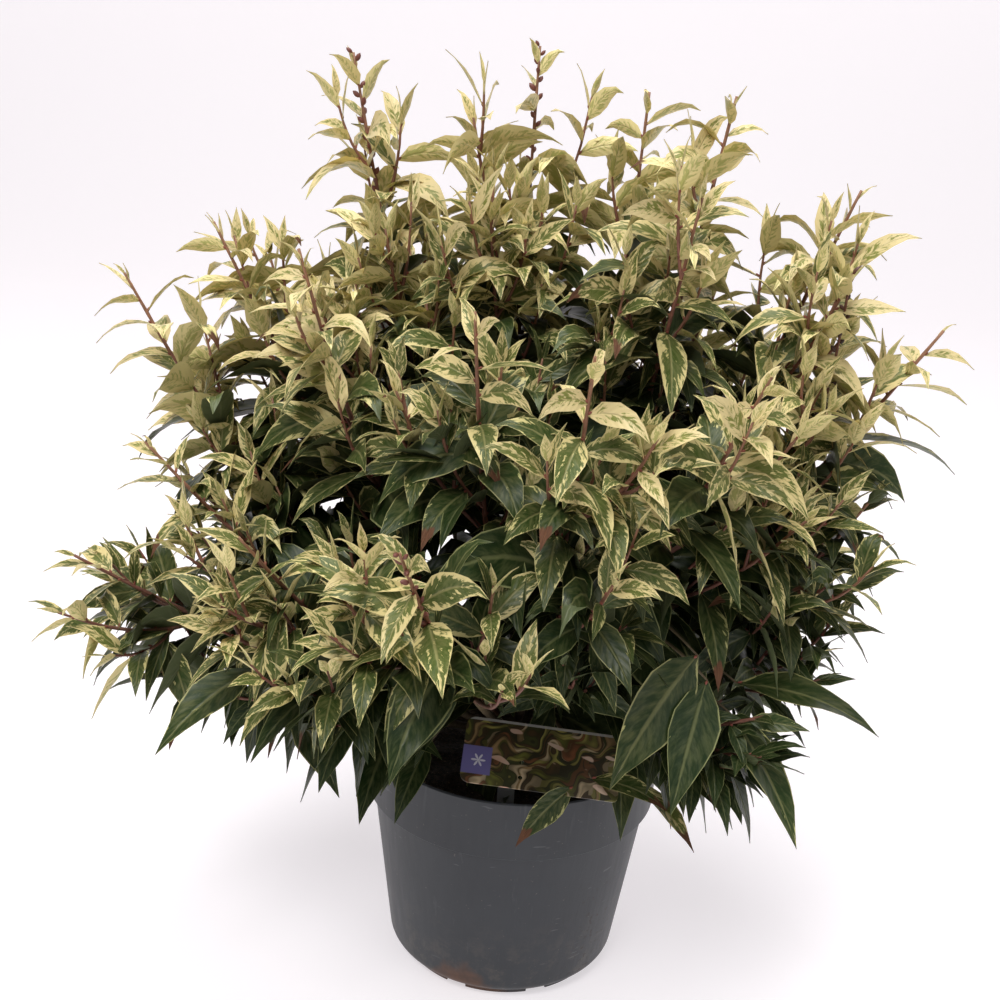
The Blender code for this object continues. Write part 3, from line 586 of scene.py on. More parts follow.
def mixed_piece(name, points, quads, triangles, material, uv):
    """A piece with four-sided and three-sided faces."""
    mesh = bpy.data.meshes.new(name)
    corners = np.concatenate((quads.ravel(), triangles.ravel())).astype(np.int32)
    starts = np.concatenate((np.arange(len(quads)) * 4, quads.size + np.arange(len(triangles)) * 3))
    mesh.vertices.add(len(points))
    mesh.vertices.foreach_set("co", np.asarray(points, np.float32).ravel())
    mesh.loops.add(len(corners))
    mesh.loops.foreach_set("vertex_index", corners)
    mesh.polygons.add(len(starts))
    mesh.polygons.foreach_set("loop_start", starts.astype(np.int32))
    mesh.update(calc_edges=True)
    mesh.polygons.foreach_set("use_smooth", np.full(len(starts), True))
    layer = mesh.uv_layers.new(name="OFBake")
    layer.data.foreach_set("uv", np.asarray(uv, np.float32)[corners].ravel())
    mesh.materials.append(material)
    item = bpy.data.objects.new(name, mesh)
    bpy.context.scene.collection.objects.link(item)
    return item


# Materials


class Finish:
    """One Principled material, with short calls that add and link its nodes."""

    def __init__(self, name, roughness):
        self.material = bpy.data.materials.new(name)
        self.material.use_nodes = True
        self.tree = self.material.node_tree
        self.shader = self.tree.nodes["Principled BSDF"]
        self.shader.inputs["Roughness"].default_value = roughness

    def feed(self, socket, value):
        """Link a socket to an input, or set the input's value."""
        if isinstance(value, bpy.types.NodeSocket):
            self.tree.links.new(value, socket)
        else:
            socket.default_value = value

    def math(self, operation, first, second=0.0):
        """A Math node's value."""
        node = self.tree.nodes.new("ShaderNodeMath")
        node.operation = operation
        self.feed(node.inputs[0], first)
        self.feed(node.inputs[1], second)
        return node.outputs[0]

    def smooth(self, value, low, high):
        """0 below low and 1 above high, with a smooth step between."""
        node = self.tree.nodes.new("ShaderNodeMapRange")
        node.interpolation_type = "SMOOTHSTEP"
        self.feed(node.inputs["Value"], value)
        self.feed(node.inputs["From Min"], low)
        self.feed(node.inputs["From Max"], high)
        return node.outputs["Result"]

    def noise(self, place, scale, detail=3.0, rough=0.55):
        """A Noise texture's value."""
        node = self.tree.nodes.new("ShaderNodeTexNoise")
        self.feed(node.inputs["Vector"], place)
        node.inputs["Scale"].default_value = scale
        node.inputs["Detail"].default_value = detail
        node.inputs["Roughness"].default_value = rough
        return node.outputs["Fac"]

    def mix(self, share, first, second):
        """A mix of two colours."""
        node = self.tree.nodes.new("ShaderNodeMix")
        node.data_type = "RGBA"
        self.feed(node.inputs[0], share)
        self.feed(node.inputs[6], first)
        self.feed(node.inputs[7], second)
        return node.outputs[2]

    def ramp(self, value, colours, constant=False):
        """A colour ramp through evenly spaced colours, or in as many equal steps."""
        node = self.tree.nodes.new("ShaderNodeValToRGB")
        node.color_ramp.interpolation = "CONSTANT" if constant else "LINEAR"
        spans = len(colours) if constant else len(colours) - 1
        elements = node.color_ramp.elements
        while len(elements) < len(colours):
            elements.new(1.0)
        for k, colour in enumerate(colours):
            elements[k].position = k / spans
            elements[k].color = colour
        self.feed(node.inputs[0], value)
        return node.outputs[0]

    def join(self, x, y, z=0.0):
        """A vector from three values."""
        node = self.tree.nodes.new("ShaderNodeCombineXYZ")
        for socket, value in zip(node.inputs, (x, y, z)):
            self.feed(socket, value)
        return node.outputs[0]

    def split(self, vector):
        """The three values of a vector."""
        node = self.tree.nodes.new("ShaderNodeSeparateXYZ")
        self.feed(node.inputs[0], vector)
        return node.outputs

    def uv(self):
        """The piece's own UV map."""
        node = self.tree.nodes.new("ShaderNodeUVMap")
        node.uv_map = "OFBake"
        return node.outputs[0]

    def place(self):
        """Object coordinates, which for a finished piece are metres in the plant's own frame."""
        return self.tree.nodes.new("ShaderNodeTexCoord").outputs["Object"]

    def scaled(self, vector, factors):
        """A vector times three factors."""
        node = self.tree.nodes.new("ShaderNodeVectorMath")
        node.operation = "MULTIPLY"
        self.feed(node.inputs[0], vector)
        node.inputs[1].default_value = factors
        return node.outputs[0]

    def bump(self, height, distance, strength=1.0):
        """Feed a bump of the height, in metres at full value, to the shader's normal."""
        node = self.tree.nodes.new("ShaderNodeBump")
        node.inputs["Strength"].default_value = strength
        node.inputs["Distance"].default_value = distance
        self.feed(node.inputs["Height"], height)
        self.tree.links.new(node.outputs[0], self.shader.inputs["Normal"])

    def set(self, name, value):
        """Feed or set one of the shader's inputs."""
        self.feed(self.shader.inputs[name], value)


def rgb(red, green, blue):
    """A colour with full alpha."""
    return (red, green, blue, 1.0)


# The two colours and the green share of each atlas row: six classes of upper side from the youngest, palest
# leaves to old dark ones, whose darker rows also carry the painted shade of low and deep leaves, then the
# undersides of young and of grown leaves, paler like real undersides and lightened further as painted light
# through the blade and from below
CREAMS = (rgb(0.68, 0.56, 0.28), rgb(0.64, 0.53, 0.25), rgb(0.59, 0.50, 0.23), rgb(0.52, 0.46, 0.20),
          rgb(0.42, 0.40, 0.17), rgb(0.32, 0.33, 0.14), rgb(0.80, 0.69, 0.335), rgb(0.21, 0.22, 0.12))
GREENS = (rgb(0.16, 0.19, 0.030), rgb(0.078, 0.110, 0.018), rgb(0.044, 0.072, 0.012),
          rgb(0.026, 0.048, 0.009), rgb(0.016, 0.033, 0.007), rgb(0.010, 0.024, 0.005),
          rgb(0.43, 0.43, 0.14), rgb(0.085, 0.105, 0.048))
GREEN_FROM = (0.615, 0.560, 0.510, 0.455, 0.395, 0.330, 0.600, 0.380)


def leaf_finish():
    """Variegated leaf: a pattern of the leaf atlas, where U runs along a leaf and V across it.

    Side veins run forward to the edge. Green lies along them and by the midrib, cream at the edge.
    The last column of each row has a burnt brown tip.
    """
    leaf = Finish("leaf", 0.42)
    cells = leaf.scaled(leaf.uv(), (ATLAS_COLUMNS, ATLAS_ROWS, 0.0))
    column, row, _ = leaf.split(cells)
    column_number = leaf.math("FLOOR", column)
    row_number = leaf.math("FLOOR", row)
    u = leaf.math("FRACT", column)
    v = leaf.math("FRACT", row)
    across = leaf.math("MULTIPLY", leaf.math("ABSOLUTE", leaf.math("SUBTRACT", v, 0.5)), 2.0)
    vein = leaf.math("SUBTRACT", u, leaf.math("MULTIPLY", across, 0.22))
    kind = leaf.math("DIVIDE", leaf.math("ADD", row_number, 0.5), float(ATLAS_ROWS))
    by_column = leaf.math("MULTIPLY", column_number, 17.3)
    variant = leaf.math("ADD", by_column, leaf.math("MULTIPLY", row_number, 5.7))
    along_veins = leaf.join(leaf.math("MULTIPLY", vein, 17.0), leaf.math("MULTIPLY", v, 4.6), variant)
    flecks = leaf.noise(along_veins, 1.0, 4.0, 0.62)
    over_blade = leaf.join(leaf.math("MULTIPLY", u, 3.4), leaf.math("MULTIPLY", v, 3.0), variant)
    blotch = leaf.noise(over_blade, 1.0, 1.0)
    value = leaf.math("ADD", leaf.math("MULTIPLY", flecks, 0.66), leaf.math("MULTIPLY", blotch, 0.34))
    inward = leaf.math("MULTIPLY", leaf.math("SUBTRACT", 0.55, leaf.math("POWER", across, 3.0)), 0.17)
    value = leaf.math("ADD", value, inward)
    levels = leaf.ramp(kind, [rgb(level, level, level) for level in GREEN_FROM], constant=True)
    greener = leaf.math("SUBTRACT", value, levels)
    hint = leaf.math("MULTIPLY", leaf.smooth(greener, -0.040, 0.010), 0.42)
    green = leaf.smooth(greener, -0.008, 0.030)
    cream_colour = leaf.ramp(kind, CREAMS, constant=True)
    green_colour = leaf.ramp(kind, GREENS, constant=True)
    tone = leaf.noise(leaf.join(variant, 0.5, 0.5), 3.1, 0.0)
    pale_green = leaf.mix(0.16, green_colour, cream_colour)
    lighter = leaf.mix(leaf.smooth(flecks, 0.35, 0.75), green_colour, pale_green)
    colour = leaf.mix(hint, cream_colour, leaf.mix(0.5, green_colour, rgb(0.20, 0.24, 0.04)))
    colour = leaf.mix(green, colour, lighter)
    edge = leaf.smooth(leaf.math("ADD", across, leaf.math("MULTIPLY", blotch, 0.12)), 0.93, 0.99)
    colour = leaf.mix(leaf.math("MULTIPLY", edge, 0.75), colour, cream_colour)
    midrib = leaf.math("MULTIPLY", leaf.smooth(across, 0.11, 0.03), 0.45)
    colour = leaf.mix(midrib, colour, leaf.mix(0.45, cream_colour, green_colour))
    shade = leaf.math("ADD", leaf.math("MULTIPLY", tone, 0.7), 0.62)
    tinted = leaf.tree.nodes.new("ShaderNodeMix")
    tinted.data_type = "RGBA"
    tinted.blend_type = "MULTIPLY"
    tinted.inputs[0].default_value = 1.0
    leaf.feed(tinted.inputs[6], colour)
    leaf.feed(tinted.inputs[7], leaf.join(shade, shade, shade))
    burnt_edge = leaf.math("ADD", u, leaf.math("MULTIPLY", blotch, 0.30))
    burnt = leaf.math("MULTIPLY", leaf.smooth(burnt_edge, 0.86, 0.92),
                      leaf.math("GREATER_THAN", column_number, BURNT_COLUMN - 0.5))
    brown = leaf.mix(flecks, rgb(0.050, 0.022, 0.014), rgb(0.17, 0.075, 0.035))
    leaf.set("Base Color", leaf.mix(burnt, tinted.outputs[2], brown))
    leaf.set("Roughness", leaf.math("ADD", 0.38, leaf.math("MULTIPLY", burnt, 0.4)))
    leaf.set("Specular IOR Level", 0.22)
    ribs = leaf.math("SINE", leaf.math("MULTIPLY", vein, 52.0))
    relief = leaf.math("ADD", leaf.math("MULTIPLY", ribs, 0.16), leaf.smooth(across, 0.14, 0.0))
    leaf.bump(leaf.math("MULTIPLY", relief, -1.0), 0.0005, 0.6)
    return leaf.material


def bark_finish(name, colours, roughness):
    """Bark whose colour follows the age in V: along the ramp from a young tip to old wood."""
    bark = Finish(name, roughness)
    around, age, _ = bark.split(bark.uv())
    stretched = bark.join(bark.math("MULTIPLY", around, 6.0), bark.math("MULTIPLY", age, 60.0))
    grain = bark.noise(stretched, 1.0, 4.0)
    colour = bark.ramp(age, colours)
    cracks = bark.mix(0.45, colour, rgb(0.02, 0.012, 0.01))
    bark.set("Base Color", bark.mix(bark.smooth(grain, 0.42, 0.68), colour, cracks))
    bark.bump(grain, 0.0004, 0.7)
    return bark.material


# Bark from a young tip to old wood
TWIG_COLOURS = (rgb(0.30, 0.15, 0.08), rgb(0.22, 0.085, 0.055), rgb(0.17, 0.065, 0.042),
                rgb(0.13, 0.070, 0.038), rgb(0.11, 0.080, 0.038))
CANE_COLOURS = (rgb(0.12, 0.085, 0.040), rgb(0.10, 0.075, 0.038), rgb(0.085, 0.058, 0.034))

# Middle and reach of the brown stain at the pot's front foot
STAIN_X = -0.022
STAIN_REACH = 0.036


def pot_finish():
    """Cool dark grey plastic with faint upright scuffs, dust, and a brown stain at the front foot."""
    pot = Finish("pot_plastic", 0.5)
    place = pot.place()
    x, y, z = pot.split(place)
    scuffs = pot.noise(pot.scaled(place, (210.0, 210.0, 16.0)), 1.0, 5.0, 0.65)
    cloud = pot.noise(place, 26.0, 3.0)
    colour = pot.mix(cloud, rgb(0.0165, 0.0195, 0.024), rgb(0.027, 0.032, 0.038))
    scuffed = pot.math("MULTIPLY", pot.smooth(scuffs, 0.60, 0.74), 0.40)
    colour = pot.mix(scuffed, colour, rgb(0.075, 0.080, 0.086))
    low = pot.smooth(z, 0.075, 0.0)
    dust = pot.math("MULTIPLY", pot.smooth(pot.noise(place, 85.0, 6.0, 0.7), 0.48, 0.66), low)
    colour = pot.mix(pot.math("MULTIPLY", dust, 0.45), colour, rgb(0.095, 0.082, 0.066))
    specks = pot.smooth(pot.noise(place, 520.0, 1.0), 0.75, 0.79)
    right = pot.math("MULTIPLY", pot.smooth(x, 0.030, 0.060), pot.smooth(z, 0.10, 0.05))
    colour = pot.mix(pot.math("MULTIPLY", specks, 0.5), colour, rgb(0.16, 0.14, 0.12))
    dirt = pot.math("MULTIPLY", pot.smooth(pot.noise(place, 330.0, 2.0), 0.60, 0.66), right)
    colour = pot.mix(dirt, colour, rgb(0.014, 0.009, 0.007))
    rub = pot.noise(pot.scaled(place, (60.0, 60.0, 330.0)), 1.0, 2.0)
    colour = pot.mix(pot.math("MULTIPLY", pot.smooth(rub, 0.69, 0.75), 0.45), colour, rgb(0.12, 0.125, 0.13))
    side = pot.math("ABSOLUTE", pot.math("SUBTRACT", x, STAIN_X))
    ragged = pot.math("MULTIPLY", pot.math("SUBTRACT", pot.noise(place, 95.0, 4.0), 0.5), 0.030)
    reach = pot.math("ADD", pot.math("ADD", side, pot.math("MULTIPLY", z, 1.2)), ragged)
    front = pot.math("LESS_THAN", y, 0.0)
    stain = pot.math("MULTIPLY", pot.smooth(reach, STAIN_REACH, STAIN_REACH * 0.6), front)
    browns = pot.mix(pot.noise(place, 160.0, 3.0), rgb(0.022, 0.010, 0.006), rgb(0.14, 0.064, 0.033))
    colour = pot.mix(stain, colour, browns)
    pot.set("Base Color", colour)
    pot.set("Roughness", pot.math("ADD", 0.36, pot.math("MULTIPLY", scuffs, 0.22)))
    pot.set("Specular IOR Level", 0.47)
    pot.bump(scuffs, 0.0002, 0.5)
    return pot.material


def peat_finish():
    """Dark brown peat with paler crumbs."""
    peat = Finish("peat", 0.95)
    place = peat.place()
    grain = peat.noise(place, 420.0, 5.0, 0.7)
    colour = peat.mix(peat.smooth(grain, 0.35, 0.70), rgb(0.010, 0.007, 0.005), rgb(0.060, 0.038, 0.024))
    crumbs = peat.smooth(peat.noise(place, 900.0, 1.0), 0.68, 0.72)
    peat.set("Base Color", peat.mix(crumbs, colour, rgb(0.20, 0.14, 0.09)))
    peat.bump(grain, 0.0015, 1.0)
    return peat.material


# The violet patch on the label, in shares of its width and height, and its star
PATCH_U = 0.185
PATCH_V = (0.14, 0.56)
STAR_REACH = 0.020


def label_finish():
    """Generic plant print: leaf-like shapes, a violet patch with a pale star, and a clear top edge."""
    label = Finish("label_print", 0.32)
    u, v, _ = label.split(label.uv())
    wide = label.math("MULTIPLY", u, 9.0)
    tall = label.math("MULTIPLY", v, 4.0)
    place = label.join(wide, tall)
    swirl = label.math("SUBTRACT", label.noise(place, 0.55, 1.0), 0.5)
    drift = label.math("ADD", label.math("MULTIPLY", wide, 0.65), label.math("MULTIPLY", tall, 0.55))
    rise = label.math("SUBTRACT", label.math("MULTIPLY", tall, 2.9), label.math("MULTIPLY", wide, 1.9))
    bent = label.join(label.math("ADD", drift, label.math("MULTIPLY", swirl, 4.0)),
                      label.math("ADD", rise, label.math("MULTIPLY", swirl, 16.0)))
    cells = label.tree.nodes.new("ShaderNodeTexVoronoi")
    cells.inputs["Scale"].default_value = 1.0
    label.feed(cells.inputs["Vector"], bent)
    choice = label.split(cells.outputs["Color"])[0]
    colour = label.ramp(choice, (rgb(0.030, 0.026, 0.014), rgb(0.17, 0.17, 0.035), rgb(0.075, 0.042, 0.020),
                                 rgb(0.60, 0.46, 0.28), rgb(0.26, 0.10, 0.045), rgb(0.40, 0.36, 0.10),
                                 rgb(0.060, 0.066, 0.020), rgb(0.34, 0.22, 0.10)), constant=True)
    shading = label.smooth(cells.outputs["Distance"], 0.05, 0.70)
    colour = label.mix(label.math("MULTIPLY", shading, 0.70), colour, rgb(0.026, 0.020, 0.010))
    petals = label.smooth(label.noise(label.join(drift, tall), 0.95, 1.0), 0.63, 0.65)
    petal = label.mix(label.math("ADD", swirl, 0.5), rgb(0.70, 0.60, 0.48), rgb(0.50, 0.20, 0.11))
    colour = label.mix(petals, colour, petal)
    above = label.math("GREATER_THAN", v, PATCH_V[0])
    below = label.math("LESS_THAN", v, PATCH_V[1])
    beside = label.math("LESS_THAN", u, PATCH_U)
    patch = label.math("MULTIPLY", beside, label.math("MULTIPLY", above, below))
    colour = label.mix(patch, colour, rgb(0.17, 0.15, 0.38))
    from_star_u = label.math("SUBTRACT", u, PATCH_U / 2 + 0.01)
    from_star_v = label.math("MULTIPLY", label.math("SUBTRACT", v, sum(PATCH_V) / 2), 0.45)
    angle = label.math("ARCTAN2", from_star_v, from_star_u)
    squares = label.math("ADD", label.math("POWER", from_star_u, 2.0), label.math("POWER", from_star_v, 2.0))
    radius = label.math("SQRT", squares)
    six_arms = label.math("COSINE", label.math("MULTIPLY", angle, 6.0))
    arms = label.math("MULTIPLY", label.math("ADD", six_arms, 1.3), STAR_REACH)
    colour = label.mix(label.math("LESS_THAN", radius, arms), colour, rgb(0.72, 0.70, 0.80))
    band = label.math("GREATER_THAN", v, 0.96)
    colour = label.mix(label.math("MULTIPLY", band, 0.7), colour, rgb(0.55, 0.54, 0.52))
    label.set("Base Color", colour)
    label.set("Coat Weight", 0.4)
    return label.material


# Foliage


class Leaves:
    """Lists of the leaves' own values, dealt out shoot by shoot and made into arrays at the end."""

    def __init__(self):
        self.rows = []

    def add(self, foot, heading, droop, length, roll, kind, column, curl):
        """Note one leaf: foot, heading, droop, length, roll, class, atlas column and tip curl."""
        self.rows.append((*foot, *heading, droop, length, roll, kind, column, curl))

    def arrays(self):
        """All leaves as an array with one row each."""
        return np.array(self.rows)


def hides_label(points):
    """True if a point stands between the label and the eye of whoever sees the plant from the front."""
    offset = points - np.array(LABEL_CENTRE)
    ahead = unit(np.array(EYE) - np.array(LABEL_CENTRE))
    along_view = offset @ ahead
    beside = offset - along_view[:, None] * ahead
    level = np.abs(beside[:, 0]) < LABEL_SIZE[0] / 2 + SIGHT_BESIDE
    upright = np.abs(beside[:, 2]) < LABEL_SIZE[1] / 2 - SIGHT_UPRIGHT
    return bool((level & upright & (along_view > -SIGHT_BEHIND)).any())


def deal_leaves(leaves, path, name, crown, chance, bare, height_age):
    """Leaves of one shoot from its tip down: smallest and palest at the tip, alternate round the twig.

    A leaf's class goes by its distance from the tip, its height in the crown, its depth in the crown and
    chance; the darkening of low and deep leaves is painted shade, for low leaves partly also darker low
    growth.
    """
    whole = path_length(path)
    tip = crown.leaders[name][-1]
    top = tip[2] + PAST_TIP_UP
    reach = math.hypot(tip[0], tip[1]) + PAST_TIP_OUT
    turn = chance.uniform(0, 2 * math.pi)
    # The spray's offset darkens the inner sprays as painted shade
    spray = DARK_START + chance.uniform(-DARK_BY_SPRAY, DARK_BY_SPRAY) + SPRAY_TONES_AND_SHADE.get(name, 0.0)
    back = LEAF_FIRST
    k = 0
    while back < whole * LEAFY_SHARE:
        foot, heading = along(path, 1 - back / whole)
        aged = min((back + height_age) / LEAF_GROWN_BY, 1.0)
        tuft = TUFT_STEP * k
        length = (LEAF_YOUNG + (LEAF_OLD - LEAF_YOUNG) * aged) * chance.uniform(*LEAF_SIZES)
        length *= min(TUFT_SIZE + tuft, 1.0)
        spread = LEAF_SPREAD_TIP + (LEAF_SPREAD - LEAF_SPREAD_TIP) * min(k / TUFT_LEAVES, 1.0)
        stray = chance.uniform(-LEAF_TURN_STRAY, LEAF_TURN_STRAY)
        across = any_across(heading, turn + GOLDEN_TURN * k + stray)
        spread *= chance.uniform(*LEAF_SPREAD_STRAY) * min(TUFT_SPREAD + tuft, 1.0)
        out = unit(heading * math.cos(spread) + across * math.sin(spread))
        droop = (chance.uniform(*LEAF_DROOP) + LEAF_DROOP_OLD * aged) * min(TUFT_DROOP + tuft, 1.0)
        # Painted shade: leaves deep inside the crown get darker classes, and low ones too, partly also for
        # darker low growth
        lowness = 1 - min(max((foot[2] - POT_RIM_Z) / CROWN_RISE, 0.0), 1.0)
        depth = 1 - min(np.linalg.norm((foot - CROWN_CENTRE) / CROWN_HALF), 1.0)
        dark = spray + DARK_BY_AGE * aged + DARK_AND_SHADE_BY_LOWNESS * lowness ** 2 + SHADE_BY_DEPTH * depth
        dark += chance.uniform(-DARK_BY_CHANCE, DARK_BY_CHANCE)
        kind = int(min(max(dark * LEAF_CLASSES, 0), LEAF_CLASSES - 1))
        burnt = chance.random() < BURNT_SHARE
        column = BURNT_COLUMN if burnt else chance.randrange(BURNT_COLUMN)
        curl = chance.uniform(*LEAF_CURL) + (BURNT_CURL if burnt else 0.0)
        roll = chance.uniform(-LEAF_ROLL, LEAF_ROLL)
        for _ in range(LEAF_TRIES):
            end = foot + unit(out * 1.1 + np.array((0.0, 0.0, -droop * 0.55))) * length
            middle = (foot + end) / 2
            low_enough = end[2] < top and math.hypot(end[0], end[1]) < reach
            high_enough = end[2] > POT_RIM_Z - LEAF_BELOW_RIM
            if low_enough and high_enough and not hides_label(np.array((middle, end))):
                leaves.add(foot, out, droop, length, roll, kind, column, curl)
                break
            length *= LEAF_SMALLER
        sparse = BARE_WIDER if back < bare else 1.0
        back += (LEAF_STEP + (LEAF_STEP_OLD - LEAF_STEP) * aged) * chance.uniform(*LEAF_STEP_STRAY) * sparse
        k += 1


def hang_rim_leaves(leaves):
    """The single low leaves, and the short twigs from the short stem's side that carry them."""
    chance = random.Random(RIM_SEED)
    twigs = []
    for foot, tip, kind, burnt in RIM_LEAVES:
        foot = np.array(foot)
        chord = np.array(tip) - foot
        heading = unit(unit(chord) + np.array((0.0, 0.0, RIM_LEAF_DROOP * RIM_LEAF_RISE)))
        column = BURNT_COLUMN if burnt else chance.randrange(BURNT_COLUMN)
        length = float(np.linalg.norm(chord)) * RIM_LEAF_BEND
        leaves.add(foot, heading, RIM_LEAF_DROOP, length, chance.uniform(-0.3, 0.3), kind, column, 0.2)
        inward = unit(foot * np.array((-1.0, -1.0, 0.0)))
        start = foot + inward * RIM_TWIG_REACH + np.array((0.0, 0.0, RIM_TWIG_RISE))
        twigs.append(bend(start, -inward, foot, 0.5, FINE_POINTS))
    return twigs


def leaf_frames(data):
    """Each leaf's foot, heading, level side direction and upper direction, after its roll."""
    foot = data[:, 0:3]
    heading = data[:, 3:6]
    down = np.array((0.0, 0.0, -1.0))
    side = np.cross(heading, down)
    weak = np.linalg.norm(side, axis=1) < 0.2
    side[weak] = np.cross(heading[weak], np.array((1.0, 0.0, 0.0)))
    side = unit(side)
    upper = unit(np.cross(side, heading))
    upper = np.where(upper[:, 2:] < 0, -upper, upper)
    level = unit(foot * np.array((1.0, 1.0, 0.0)) + 1e-9)
    aside = np.cross(heading, upper)
    roll = data[:, 8] + LEAF_OUTWARD * (aside * level).sum(axis=1)
    turned = upper * np.cos(roll)[:, None] + aside * np.sin(roll)[:, None]
    return foot, heading, np.cross(heading, turned), turned


def leaf_surface(data, rows):
    """Closed thin blades: points (leaves, 8 (rows) ... , 3) of upper and lower sides, and their UVs.

    With t along the leaf and s from -1 to 1 across, the midrib M(t) adds up steps of
    D(t) = unit(heading + down (droop t + curl t^4)), the half width is w(t) = W t^0.75 (1 - t)^1.4 past a
    stalk, and P(t, s) = M(t) + S s w + N (fold |s|^1.4 w + wave sin(9 t + phase) s^2 w +- thick (1 - s^2)).
    """
    foot, heading, side, upper = leaf_frames(data)
    count = len(data)
    droop, length, curl = data[:, 6], data[:, 7], data[:, 11]
    t = np.linspace(0, 1, rows) ** 0.92
    down = np.array((0.0, 0.0, -1.0))
    pull = 1.25 * droop[:, None] * t ** 1.3 + curl[:, None] * t ** 4
    direction = unit(heading[:, None, :] + down * pull[..., None])
    steps = (direction[:, 1:] + direction[:, :-1]) / 2 * np.diff(t)[None, :, None] * length[:, None, None]
    midrib = foot[:, None, :] + np.concatenate((np.zeros((count, 1, 3)), np.cumsum(steps, axis=1)), axis=1)
    across = unit(side[:, None, :] - (side[:, None, :] * direction).sum(-1, keepdims=True) * direction)
    normal = np.cross(across, direction)
    flip = np.sign((normal * upper[:, None, :]).sum(-1, keepdims=True))
    normal = normal * np.where(flip == 0, 1.0, flip)
    blade = np.clip((t - 0.05) / 0.95, 0, 1)
    outline = blade ** 0.75 * (1 - blade) ** 1.4
    outline = outline / outline.max() + np.where((t > 0) & (t < 0.12), 0.05, 0.0)
    outline[0] = 0.035
    broad = np.interp(length, (LEAF_YOUNG, LEAF_OLD), LEAF_WIDTH)
    half = (length * broad / 2)[:, None] * outline[None, :]
    s = np.linspace(-1, 1, LEAF_ACROSS)
    phase = (data[:, 0] * 913.0 + data[:, 1] * 571.0)[:, None, None]
    wave = 0.10 * np.sin(9.0 * t[None, :, None] + phase + s[None, None, :]) * s ** 2
    lift = LEAF_FOLD * np.abs(s) ** 1.4 + wave
    upper_side = (midrib[:, :, None, :] + across[:, :, None, :] * (half[:, :, None] * s)[..., None]
                  + normal[:, :, None, :] * (half[:, :, None] * lift)[..., None])
    thick = normal[:, :, None, :] * (LEAF_THICK / 2 * (1 - s ** 2))[None, None, :, None]
    return upper_side + thick, upper_side - thick


def leaf_uvs(data, row, rows):
    """Atlas UVs of one side of each leaf: its cell, inset a little, with U along and V across."""
    u = ATLAS_INSET + (1 - 2 * ATLAS_INSET) * np.linspace(0, 1, rows)
    v = ATLAS_INSET + (1 - 2 * ATLAS_INSET) * np.linspace(0, 1, LEAF_ACROSS)
    grid_u = (data[:, 10][:, None, None] + u[None, :, None]) / ATLAS_COLUMNS + 0 * v
    grid_v = (row[:, None, None] + v[None, None, :]) / ATLAS_ROWS + 0 * u[None, :, None]
    return np.stack((grid_u, grid_v), axis=-1)


def leaf_piece(name, data, rows, material):
    """One piece of many leaves, each a closed blade of an upper and a lower side."""
    above, below = leaf_surface(data, rows)
    count = len(data)
    each = rows * LEAF_ACROSS
    # Undersides take atlas rows 6 and 7, lightened as painted light through the blade and from below
    young = data[:, 9] < 2.5
    uv = np.concatenate((leaf_uvs(data, data[:, 9], rows).reshape(count, each, 2),
                         leaf_uvs(data, np.where(young, 6, 7), rows).reshape(count, each, 2)), axis=1)
    points = np.concatenate((above.reshape(count, each, 3), below.reshape(count, each, 3)), axis=1)
    top = grid_faces(rows, LEAF_ACROSS)
    bottom = top[:, (0, 3, 2, 1)] + each
    faces = np.concatenate((repeated(top, count, 2 * each), repeated(bottom, count, 2 * each)))
    return make_piece(name, points.reshape(-1, 3), faces, material, uv.reshape(-1, 2))


def bud_surface(feet, outs, lengths, width):
    """Small ovals: P(t, a) = foot + out L t + w sin(pi t)^0.7 (A cos a + B sin a), t from 0 to 1."""
    t = np.linspace(0, 1, BUD_ROWS)
    angle = np.linspace(0, 2 * math.pi, BUD_SIDES, endpoint=False)
    guide = unit(np.cross(outs, np.array((0.21, 0.37, 0.9))))
    other = np.cross(outs, guide)
    round_out = guide[:, None, :] * np.cos(angle)[:, None] + other[:, None, :] * np.sin(angle)[:, None]
    swell = np.maximum(np.sin(math.pi * t), 0.0) ** 0.7 * width / 2 + 0.01
    core = feet[:, None, :] + outs[:, None, :] * (lengths[:, None] * t)[..., None]
    return core[:, :, None, :] + round_out[:, None, :, :] * (lengths[:, None] * swell)[:, :, None, None]


def bud_piece(name, buds, width, material):
    """One piece of many buds or scales, each a closed oval; a bud is (foot, out, length, age)."""
    feet = np.array([bud[0] for bud in buds])
    outs = unit(np.array([bud[1] for bud in buds]))
    lengths = np.array([bud[2] for bud in buds])
    ages = np.array([bud[3] for bud in buds])
    grid = bud_surface(feet, outs, lengths, width)
    shape = (len(buds), BUD_ROWS, BUD_SIDES)
    u = np.broadcast_to(np.linspace(0, 1, BUD_SIDES, endpoint=False), shape)
    v = np.broadcast_to(ages[:, None, None], shape)
    faces = repeated(grid_faces(BUD_ROWS, BUD_SIDES, closed=True), len(buds), BUD_ROWS * BUD_SIDES)
    return make_piece(name, grid.reshape(-1, 3), faces, material, np.stack((u, v), -1).reshape(-1, 2))


# Parts of the plant


def age_of(path, base, count):
    """Age along a path from its foot to its tip, where 0 is a growing tip and 1 old wood."""
    length = path_length(path)
    return np.clip((base + length * np.linspace(1, 0, count)) / OLD_WOOD, 0.0, 1.0)


